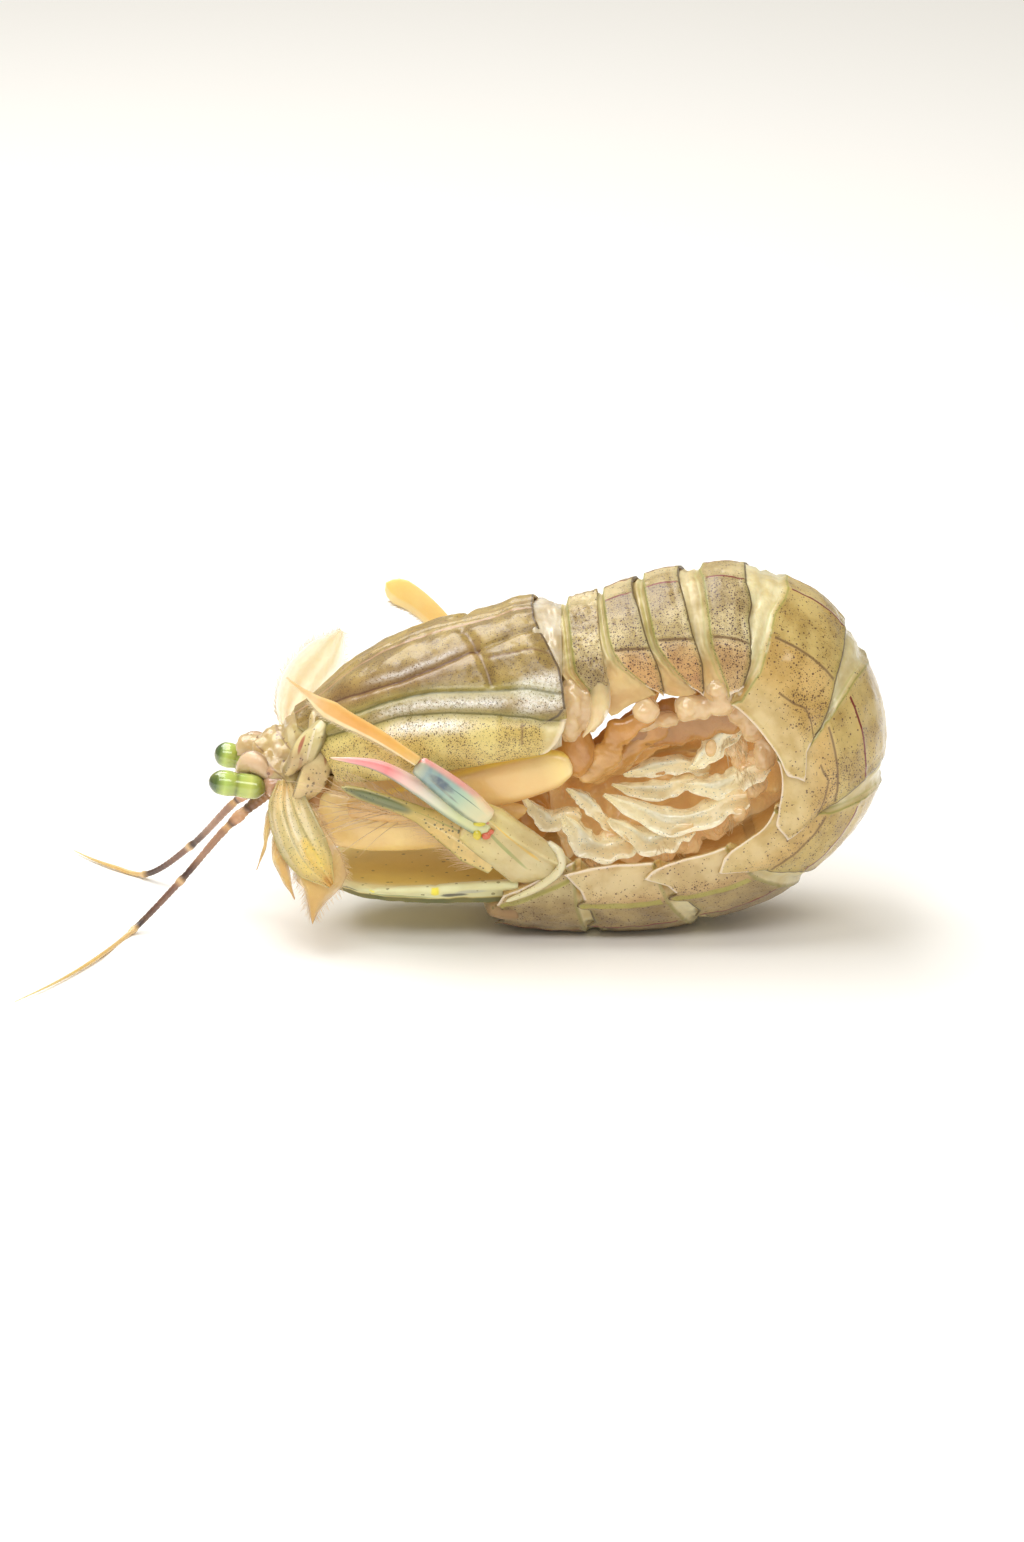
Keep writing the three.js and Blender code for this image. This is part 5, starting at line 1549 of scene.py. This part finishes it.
fans = {
    "left": {
        "base": {
            "path": [
                (11.6, -8.4, 8.2), (8.6, -9.2, 10.2), (5.9, -9.7, 12.2), (3.6, -10.1, 14.2),
                (2.4, -10.3, 15.2),
            ],
            "left": [(0, 0.8), (0.12, 2.8), (0.3, 4.0), (0.5, 3.7), (0.75, 3.6), (0.92, 3.4), (1, 2.6)],
            "right": [(0, 0.8), (0.15, 1.4), (0.4, 1.7), (0.7, 1.7), (0.92, 1.3), (1, 0.8)],
        },
        "spine": [
            (3.6, -10.6, 13.0), (0.0, -10.9, 15.4), (-3.5, -11.1, 18.0), (-7.4, -11.3, 20.3),
            (-12.2, -11.4, 21.2),
        ],
        "outer": [(3.6, -10.9, 14.4), (-0.1, -12.0, 18.0), (-3.6, -12.3, 20.9)],
        "blade": [
            (-3.5, -12.3, 21.1), (-7.4, -12.3, 23.8), (-11.2, -12.3, 26.0), (-13.8, -12.3, 27.8),
            (-16.4, -12.3, 29.9),
        ],
        "inner": [(4.4, -9.6, 9.6), (0.4, -9.6, 12.4), (-4.4, -9.5, 15.0), (-11.1, -9.4, 17.4)],
        "fin": (
            [(0, 0.5), (0.1, 0.55), (0.4, 0.8), (0.6, 1.05), (0.7, 0.75), (0.8, 0.35), (1, 0.04)],
            [
                (0, 0.55), (0.1, 0.6), (0.4, 0.8), (0.57, 0.95), (0.63, 0.8), (0.72, 0.5), (0.85, 0.22),
                (1, 0.04),
            ],
        ),
    },
    "right": {
        "base": {
            "path": [
                (9.6, 8.4, 7.6), (8.2, 9.2, 10.0), (6.9, 9.8, 12.4), (5.9, 10.3, 14.6), (5.5, 10.5, 15.4),
            ],
            "left": [(0, 0.8), (0.12, 2.2), (0.3, 3.2), (0.5, 3.1), (0.75, 2.8), (0.92, 2.4), (1, 1.8)],
            "right": [(0, 0.8), (0.15, 1.6), (0.4, 2.1), (0.7, 2.0), (0.92, 1.5), (1, 1.0)],
        },
        "spine": [
            (5.5, 10.6, 13.6), (2.2, 10.9, 16.6), (-1.6, 11.1, 19.6), (-5.4, 11.4, 22.2),
            (-8.9, 11.5, 24.1),
        ],
        "outer": [(6.9, 11.4, 13.8), (4.4, 12.4, 18.6), (2.2, 12.5, 22.4)],
        "blade": [
            (2.0, 12.5, 22.8), (-0.6, 12.4, 26.2), (-3.8, 12.2, 29.4), (-5.6, 12.1, 30.6),
            (-6.8, 12.0, 31.4),
        ],
        "inner": [(5.4, 9.7, 10.9), (-1.0, 9.8, 14.4), (-6.4, 9.8, 17.2)],
        "fin": (
            [(0, 0.5), (0.1, 0.8), (0.4, 1.2), (0.7, 1.5), (0.85, 1.2), (0.95, 0.7), (1, 0.1)],
            [(0, 0.5), (0.1, 0.8), (0.4, 1.2), (0.7, 1.4), (0.85, 1.1), (0.95, 0.6), (1, 0.1)],
        ),
    },
}
fanShapes = {
    "base": {"thick": [1.8, 2.4, 2.4, 2.0, 1.4], "steps": 70, "half": 20},
    "spine": {
        "wide": [2.0, 1.9, 1.7, 1.2, 0.2], "thick": [1.4, 1.3, 1.1, 0.9, 0.2],
        "sides": 24, "steps": 70, "boxy": 0.9, "cap": 0.03,
    },
    "outer": {"wide": [2.2, 2.9, 2.6, 2.0], "thick": [1.1, 1.3, 1.3, 1.2], "boxy": 0.9},
    "blade": {"thick": [0.9, 0.8, 0.7, 0.5, 0.2], "steps": 80, "half": 12},
    "inner": {
        "thick": [0.7, 0.8, 0.9, 0.8, 0.5], "steps": 80, "half": 12,
        "left": [
            (0, 1.6), (0.2, 2.1), (0.4, 1.6), (0.6, 0.9), (0.75, 0.75), (0.9, 0.7), (0.97, 0.45), (1, 0.05),
        ],
        "right": [
            (0, 1.2), (0.2, 1.9), (0.4, 1.6), (0.6, 0.9), (0.75, 0.7), (0.9, 0.65), (0.97, 0.4), (1, 0.05),
        ],
    },
    "bladeHairs": {
        "length": 0.5, "thickness": 0.03, "spread": 0.2, "seed": 21,
        "from": 0.1, "to": 0.75, "count": 180, "forward": 1.0,
    },
    "leafHairs": {
        "length": 1.6, "thickness": 0.03, "spread": 0.25,
        "from": 0.1, "to": 1.0, "count": 150, "forward": 1.2,
    },
}


def fanShape(part, path, **more):
    return {"across": (1, 0, 1), "wide": [2, 2], "path": path} | fanShapes[part] | more


def stemRelief(along, across):
    return 0.25 * np.cos(across * 7 + along * 3) * (1 - across**2)


for sideName, parts in fans.items():
    tag = "fan_" + sideName
    stem = fanShape("base", **parts["base"])
    leafPiece(tag + "_stem", stem, fanBaseMaterial, [tag + "_base"], stemRelief)
    limbPiece(tag + "_spine", fanShape("spine", parts["spine"]), spineMaterial, ())
    lobe = fanShape("outer", parts["outer"])
    limbPiece(tag + "_lobe", lobe, outerMaterial, [tag + "_outer"])
    blade = fanShape("blade", parts["blade"], left=parts["fin"][0], right=parts["fin"][1])
    finish = bladeMaterial if sideName == "left" else farBladeMaterial
    margin = leafPiece(tag + "_fin", blade, finish, [tag + "_blade"])
    fringe(tag + "_fin_hairs", margin, -1, fanShapes["bladeHairs"], paleHair)
    leaf = fanShape("inner", parts["inner"])
    margin = leafPiece(tag + "_leaf", leaf, fanInnerMaterial, [tag + "_inner"])
    for letter, edge in (("a", -1), ("b", 1)):
        look = dict(fanShapes["leafHairs"], seed=31 + edge)
        fringe(tag + "_leaf_hairs_" + letter, margin, edge, look, goldHair)
knuckleLook = dict(fanBaseLook, tones=[(0.0, "#cc5a3c"), (1.0, "#d87450")], marks=[], patchTone="#c84438")
knuckles = {
    "left": (3.3, -11.3, 12.9), "right": (5.6, 11.3, 13.3),
    # place from the knuckle's middle, and radii
    "joint": [((0, 0, 0), (0.48, 0.38, 0.42)), ((0.45, 0.1, 0.4), (0.32, 0.26, 0.3))],
    "joint_edge": [((-0.9, 0, 0.1), (0.45, 0.35, 0.5)), ((-0.7, -0.1, 1.3), (0.7, 0.3, 0.3))],
    "voxel": 0.1, "ripple": 0.05, "rounds": 2,
}
goldLook = dict(knuckleLook, tones=[(0.0, "#ecd040"), (1.0, "#d8c838")], patchTone="#b0b038")
for sideName, sign in sides:
    middle = np.array(knuckles[sideName])
    for part, finish, look in (("joint", "red", knuckleLook), ("joint_edge", "gold", goldLook)):
        balls = [(middle + shift, radii) for shift, radii in knuckles[part]]
        material = fleshMaterial("knuckle_" + finish + "_" + sideName, look)
        softLumps("fan_" + sideName + "_" + part, balls, knuckles, material, ())
print("fans done")

# Swimming legs: pairs of crinkled paddles with soft gills at their roots
# the near-white edge is a painted highlight along one margin of each paddle; through gives a painted glow
paddleLook = {
    "tones": [(0.0, "#e0bc84"), (0.25, "#ecdaae"), (0.6, "#eee2bc"), (1.0, "#f4e8bc")], "through": 0.22,
    "edge": (0.6, 0.82, 0.9, "#fcf4d4"), "otherEdge": (0.6, 0.95, 0.6, "#e6c890"), "patchTone": "#d6ca9e",
    "patchStrength": 0.45, "patch": 1.2, "dots": (0.2, 0.22, "#8c948c"),
    "marks": [(0.6, -0.1, 0.26, 0.35, 0, 0.5, "#bcc0b0")], "rough": 0.2, "glow": 0.3, "bump": 1.0,
    "depth": 0.35, "coat": 1.0, "coatRough": 0.1, "coatIndex": 1.8,
}
paddleMaterial = fleshMaterial("paddle_cream", paddleLook)
gillLook = {
    "tones": [(0.0, "#e2c290"), (1.0, "#ead0a2")], "through": 0.25, "patchTone": "#d8ae74",
    "patchStrength": 0.5, "patch": 1.2, "rough": 0.1, "glow": 0.5, "bump": 0.8, "depth": 0.3, "coat": 1.0,
    "coatRough": 0.05, "coatIndex": 1.8, "clear": (0.6, 0.75),
}
gillMaterial = fleshMaterial("gill_clear", gillLook)
# leaves of one side by pair, each with an x z path from the root to the tip, its distance from the middle
# and its width, and the x z place of the gill
paddles = {
    1: {
        "leaves": [([(30.2, 23.4), (27.6, 21.4), (25.6, 19.4), (23.6, 17.4)], 4.4, 2.2)],
        "gill": (27.9, 20.0),
    },
    2: {
        "leaves": [([(31.4, 18.0), (28.4, 16.4), (26.0, 15.6), (23.0, 15.8)], 4.6, 2.3)],
        "gill": (29.2, 16.9),
    },
    3: {
        "leaves": [
            (
                [(29.4, 14.6), (27.6, 14.2), (25.2, 12.8), (21.9, 12.0), (18.6, 13.2), (15.0, 15.0)], 5.0,
                2.5,
            ),
            ([(26.4, 15.2), (23.0, 15.2), (21.4, 14.5), (18.6, 14.4), (15.8, 15.0)], 2.2, 1.8),
            ([(25.6, 16.6), (22.8, 17.0), (19.6, 16.6), (17.0, 15.8)], 1.8, 1.7),
        ],
        "gill": (26.8, 12.6),
    },
    4: {
        "leaves": [
            ([(24.0, 11.6), (22.6, 11.2), (21.2, 10.3), (19.6, 9.9), (17.6, 11.0), (15.4, 12.3)], 5.0, 2.5),
        ],
        "gill": (21.4, 9.6),
    },
    5: {
        "leaves": [
            ([(17.6, 10.2), (16.8, 9.6), (14.8, 9.3), (13.2, 9.8), (12.0, 11.4), (10.8, 12.9)], 5.2, 2.6),
            ([(12.6, 12.2), (11.2, 12.7), (9.8, 11.9), (8.6, 12.8), (7.0, 14.5)], 4.8, 1.9),
            ([(16.2, 10.8), (14.2, 12.7), (12.8, 14.3), (11.2, 15.2)], 4.0, 1.4),
        ],
        "gill": (14.4, 8.3),
    },
}
paddleShape = {
    "wide": [0.6, 1.15, 0.95, 1.25, 1.0, 1.2, 0.9, 0.7, 0.15], "full": 1.03,
    "thick": [0.6, 0.5, 0.4, 0.35, 0.15], "steps": 80, "half": 12,
}
gills = {
    "away": 4.3, "balls": 7, "scatter": (0.8, 0.35, 0.6), "voxel": 0.15, "ripple": 0.1, "rounds": 3,
    "filaments": 46, "reach": (1.5, 1.0, 1.3),
    "hairs": {"length": 1.0, "thickness": 0.07, "bend": 0.4, "spread": 0.3},
}
gillBed = {
    "balls": [
        (30.4, 18.0), (29.8, 15.6), (28.2, 13.2), (26.0, 11.2),
        (23.4, 9.6), (20.6, 8.8), (17.8, 8.6), (15.6, 9.4),
    ],
    "away": 3.7, "radii": (1.5, 1.2, 1.4), "voxel": 0.2, "ripple": 0.16, "rounds": 4,
}
bedLook = dict(gillLook, clear=None, rough=0.2, coat=0.8, coatIndex=1.6, bump=1.0)
bedMaterial = fleshMaterial("gill_bed", bedLook)


def crinkle(seed):
    def relief(along, across):
        fold = np.sin(along * 9 + seed + 1.4 * across) * 0.2
        fold = fold + np.sin(along * 21 + across * 5 + seed * 2) * 0.08
        frill = 0.14 * np.sin(along * 46 + seed) * smooth(np.abs(across), 0.5, 1.0)
        return fold * (0.4 + np.abs(across)) + frill + 0.45 * np.cos(across * 3.4 + 0.7) + 0.3 * across**2

    return relief


def buildGill(name, number, sign, x, z):
    random = np.random.default_rng(number)
    balls, spots, ways = [], [], []
    for _ in range(gills["balls"]):
        shift = random.normal(size=3) * gills["scatter"]
        middle = (x + shift[0], sign * gills["away"] + shift[1], z + shift[2])
        balls.append((middle, (0.6 + 0.2 * random.random(), 0.5, 0.95)))
    softLumps(name + "_gill", balls, gills, gillMaterial, ())
    for _ in range(gills["filaments"]):
        way = random.normal(size=3) * (1, 0.6, 1) + (0, 0.8 * sign, 0.2)
        way /= np.linalg.norm(way)
        spots.append((x, sign * gills["away"] + midY, z) + way * gills["reach"])
        ways.append(way * 0.4 + (0.2, 0.1 * sign, -0.9))
    bristles(name + "_filaments", spots, ways, dict(gills["hairs"], seed=number), paleHair)


for sideName, sign in sides:
    for number, spec in paddles.items():
        name = "swimmeret_" + sideName + "_" + str(number)
        for order, (path, away, width) in enumerate(spec["leaves"]):
            shape = dict(
                paddleShape, path=[(x, sign * away, z) for x, z in path], across=(0, 0.5 * sign, -0.85),
                wide=[paddleShape["full"] * width * share for share in paddleShape["wide"]],
            )
            stands = () if order else [name]
            tag = name + "_paddle_" + "abc"[order]
            leafPiece(tag, shape, paddleMaterial, stands, crinkle(number * 3 + order))
        buildGill(name, number, sign, *spec["gill"])
for sideName, sign in sides:
    balls = [((x, sign * gillBed["away"], z), gillBed["radii"]) for x, z in gillBed["balls"]]
    softLumps("gill_bed_" + sideName, balls, gillBed, bedMaterial, ())
print("swimming legs done")

# Soft skin that closes the hollow of the curl: an x z line within it, and its x z rim
curl = {
    "spine": [(11.5, 15.2), (17, 16.6), (23, 18.4), (28, 19.2)],
    "rim": [
        (9.4, 15.2), (11.2, 17.8), (14.6, 18.8), (18.0, 21.2), (20.8, 21.2), (22.6, 22.4), (27.2, 24.6),
        (31.0, 25.0), (34.6, 21.6), (35.2, 16.6), (33.0, 12.0), (28.6, 8.4), (23.4, 6.4), (18.4, 5.4),
        (14.2, 4.8), (11.6, 6.4), (10.0, 10.0),
    ],
    "depth": 0.8, "thick": 0.9, "points": 160, "rings": 26,
}
# painted shade: the tones darken towards the middle of the hollow, where the curl is deepest; they also
# darken at the rim; through gives a painted glow
curlLook = dict(
    innerLook,
    tones=[
        (0.0, "#b07c3c"), (0.12, "#c08e4e"), (0.28, "#d0aa6e"), (0.7, "#dcbc82"), (0.95, "#e2c698"),
        (1.0, "#c09050"),
    ],
    patchTone="#bc9660", patchStrength=0.5, patch=5.0, glow=0.7, glowDepth=2.5, through=0.32, rough=0.22,
    depth=0.5,
)
curlMaterial = fleshMaterial("curl_skin", curlLook)


def buildCurl():
    count, rings = curl["points"], curl["rings"]
    loop = np.array(curl["rim"] + curl["rim"][:1], float)
    loop = splinePoints(loop, np.linspace(0, len(loop) - 1, count, endpoint=False))
    line = splinePoints(np.array(curl["spine"], float), np.linspace(0, len(curl["spine"]) - 1, 200))
    start = line[np.argmin(np.linalg.norm(loop[:, None] - line[None], axis=2), axis=1)]
    out = np.concatenate([np.linspace(0.02, 1, rings), np.linspace(1, 0.02, rings)])[:, None]
    face = np.repeat([-1.0, 1.0], rings)[:, None]
    flat = start[None] + (loop - start)[None] * out[..., None]
    x, z = flat[..., 0], flat[..., 1]
    spots = np.stack([x, 0 * x, z], -1)
    fold = 1.3 * waves(spots, 7.0, 61) + 0.5 * waves(spots, 2.6, 62)
    edge = np.sqrt(np.clip(1 - out**6, 0.03, 1))
    y = curl["depth"] + fold + face * curl["thick"] / 2 * edge - 1.4 * (1 - out) ** 2
    points = np.stack([x, y + midY, z], -1)
    fields = {"along": out, "across": 0.0, "thin": 0.0}
    makePiece("curl_skin", points, curlMaterial, (), fields)


buildCurl()
# bands of muscle that the legs grow from
# painted shade: each band darkens towards its end, which lies in shade near the end of the claw arm;
# through gives a painted glow
bandLook = dict(
    curlLook, tones=[(0.0, "#c89c60"), (0.4, "#b48044"), (1.0, "#a06c30")], patchTone="#9a6a30",
    through=0.16,
)
bandMaterial = fleshMaterial("leg_band", bandLook)
band = {
    "left": [(29.0, 23.8), (23.6, 22.8), (18.4, 21.6), (15.0, 19.4), (12.4, 16.4)],
    "right": [(27.6, 24.6), (26.2, 21.0), (23.0, 17.8), (18.0, 15.8), (13.6, 14.4)],
    "away": 4.4, "across": (0.35, 0, -1), "wide": [4.6, 4.8, 4.0, 3.2, 2.0], "thick": [1.6, 1.5, 1.4, 1.0],
    "sides": 32, "steps": 80, "boxy": 0.9, "cap": 0.06, "ripple": (0.1, 2.2, 71),
}
for sideName, sign in sides:
    shape = dict(band, path=[(x, sign * band["away"], z) for x, z in band[sideName]])
    limbPiece("leg_band_" + sideName, shape, bandMaterial, ())
lumpLook = dict(
    claspLook, tones=[(0.0, "#e0c494"), (0.5, "#e4ca9c"), (1.0, "#dcbc8c")], through=0.22, coatIndex=1.8,
    patchTone="#d4b080", patch=1.4, rough=0.15, glow=0.7, coat=1.0, coatRough=0.06, clear=(0.6, 0.74),
)
lumpMaterial = fleshMaterial("hip_pink", lumpLook)
hips = [
    ((11.7, 7.2, 24.6), (1.5, 1.6, 3.6)), ((13.6, 7.3, 25.0), (1.4, 1.2, 2.5)),
    ((19.2, 8.0, 25.0), (1.4, 1.2, 1.3)), ((23.3, 8.0, 25.2), (1.4, 1.2, 1.5)),
    ((24.8, 7.6, 25.2), (1.2, 1.2, 1.3)), ((26.6, 8.0, 25.8), (1.5, 1.3, 1.5)),
    ((26.0, 8.4, 27.4), (1.3, 1.2, 1.2)), ((28.2, 8.2, 27.0), (1.4, 1.2, 1.4)),
    ((21.2, 5.6, 23.2), (1.5, 1.2, 0.8)), ((28.6, 6.0, 24.2), (1.4, 1.4, 1.5)),
    ((29.8, 6.2, 22.6), (1.3, 1.2, 1.6)), ((31.0, 5.6, 19.6), (1.2, 1.2, 1.9)),
    ((19.0, 5.4, 22.6), (1.4, 1.1, 0.8)),
]
hipGrid = {"voxel": 0.22, "ripple": 0.14, "rounds": 5}
for sideName, sign in sides:
    # the far side has only the lumps high in the curl
    balls = [((x, sign * y, z), radii) for (x, y, z), radii in hips if sign < 0 or z > 22.5 and x > 22]
    softLumps("hips_" + sideName, balls, hipGrid, lumpMaterial, ())
flap = {
    "path": [(14.4, -7.8, 29.4), (14.6, -8.9, 26.0), (14.2, -8.9, 24.2), (12.9, -8.7, 22.4)],
    "across": (1, 0, 0.3), "wide": [2.0, 2.0, 1.4, 0.2], "thick": [0.5, 0.45, 0.35, 0.15], "steps": 40,
    "half": 8,
}
flapLook = dict(
    lumpLook, tones=[(0.0, "#d8c48c"), (1.0, "#e6cfa2")], clear=(0.35, 0.75),
    edge=(0.8, 1.0, 0.6, "#fff2dc"),
)
flapMaterial = fleshMaterial("flap_clear", flapLook)


def flapRelief(along, across):
    return 0.12 * np.cos(across * 3)


for sideName, shape in bothSides(flap):
    leafPiece("thorax_flap_" + sideName, shape, flapMaterial, (), flapRelief)
print("inner skin done")

# The ridge round the end of the tail, and the long bristles of the mouth
ridgeLook = dict(fanBaseLook, tones=[(0.0, "#ece2c0"), (1.0, "#e6dcb4")], marks=[], patchTone="#d8c896")
ridgeMaterial = fleshMaterial("ridge_pale", ridgeLook)
ridge = {
    "path": [(9.4, -9.3, 11.6), (10.6, -9.6, 10.4), (10.7, -9.8, 9.0), (8.7, -9.9, 7.1), (5.2, -9.4, 5.2)],
    "across": (0, 1, 0), "wide": [0.5, 0.9, 0.9, 0.8, 0.4], "thick": [0.5, 0.9, 0.9, 0.8, 0.4], "sides": 16,
}
for sideName, shape in bothSides(ridge):
    limbPiece("tail_ridge_" + sideName, shape, ridgeMaterial, ())
whiskers = {
    "rows": [
        # first root, last root, how many, length, way
        ((-11.6, -6.4, 15.6), (-6.0, -7.6, 14.6), 9, 6.5, (-0.75, -0.15, 0.35)),
        ((-10.8, -6.8, 14.2), (-4.0, -7.8, 13.6), 9, 6.0, (-0.9, -0.15, 0.02)),
        ((-11.4, -6.6, 13.2), (-3.5, -7.4, 12.6), 9, 5.5, (-0.85, -0.1, -0.3)),
        ((-7.0, -8.0, 15.8), (0.0, -8.6, 16.4), 8, 5.5, (-0.6, -0.2, 0.75)),
    ],
    "thickness": 0.07, "bend": 0.25, "spread": 0.2, "seed": 50,
}
for sideName, sign in sides:
    for order, (first, last, count, length, way) in enumerate(whiskers["rows"]):
        spots = np.linspace(first, last, count) * (1, -sign, 1) + (0, midY, 0)
        look = dict(whiskers, length=length, seed=whiskers["seed"] + order)
        name = "whiskers_" + sideName + "_" + "abcd"[order]
        bristles(name, spots, np.array(way) * (1, -sign, 1), look, goldHair)
print("bristles done")

# Camera, lights and table, in millimetres
studio = {
    "tilt": 20.0,  # degrees above the table
    "distance": 1200.0,
    "viewHeight": 154.2,
    "film": 36.0,
    "aim": (5.85, midY, 15.64),
    "lightAim": (5, 3, 15),
    "lights": {  # place, size and power
        "key": ((-80, 0, 330), (240, 180), 0.55),
        "front": ((0, -210, 250), (340, 100), 0.4),
        "back": ((-110, 190, 300), (260, 180), 0.62),
    },
    "sky": 0.47,
    "skyTone": (1, 0.95, 0.84, 1),
    "table": 2200.0,  # half its width
    "tableTone": (0.97, 0.96, 0.94, 1),
}
tilt = math.radians(studio["tilt"])
spot = np.array(studio["aim"]) + studio["distance"] * np.array([0, -math.cos(tilt), math.sin(tilt)])
camera = bpy.data.objects.new("camera", bpy.data.cameras.new("camera"))
camera.data.lens = studio["film"] * studio["distance"] / studio["viewHeight"]
camera.data.clip_start, camera.data.clip_end = 0.05, 20
camera.location = spot * mm
camera.rotation_euler = (math.pi / 2 - tilt, 0, 0)
scene.collection.objects.link(camera)
scene.camera = camera

for name, (place, size, power) in studio["lights"].items():
    data = bpy.data.lights.new(name, "AREA")
    data.shape, data.energy = "RECTANGLE", power
    data.size, data.size_y = size[0] * mm, size[1] * mm
    lamp = bpy.data.objects.new(name, data)
    way = np.array(studio["lightAim"], float) - place
    lamp.location = np.array(place) * mm
    lamp.rotation_euler = Vector(way).to_track_quat("-Z", "Y").to_euler()
    scene.collection.objects.link(lamp)

tableTop = bpy.data.meshes.new("table")
edge = studio["table"] * mm
corners = [(x * edge, y * edge, 0) for x, y in ((-1, -1), (1, -1), (1, 1), (-1, 1))]
tableTop.from_pydata(corners, [], [(0, 1, 2, 3)])
table = bpy.data.objects.new("table", tableTop)
scene.collection.objects.link(table)
tableLook, tree, shader, place = newMaterial("table_white")
shader.inputs["Base Color"].default_value = studio["tableTone"]
shader.inputs["Roughness"].default_value = 0.9
shader.inputs["Specular IOR Level"].default_value = 0.1
tableTop.materials.append(tableLook)
world = bpy.data.worlds.new("sky")
world.use_nodes = True
world.node_tree.nodes["Background"].inputs[0].default_value = studio["skyTone"]
world.node_tree.nodes["Background"].inputs[1].default_value = studio["sky"]
scene.world = world
scene.view_settings.view_transform = "Standard"
print("studio done")
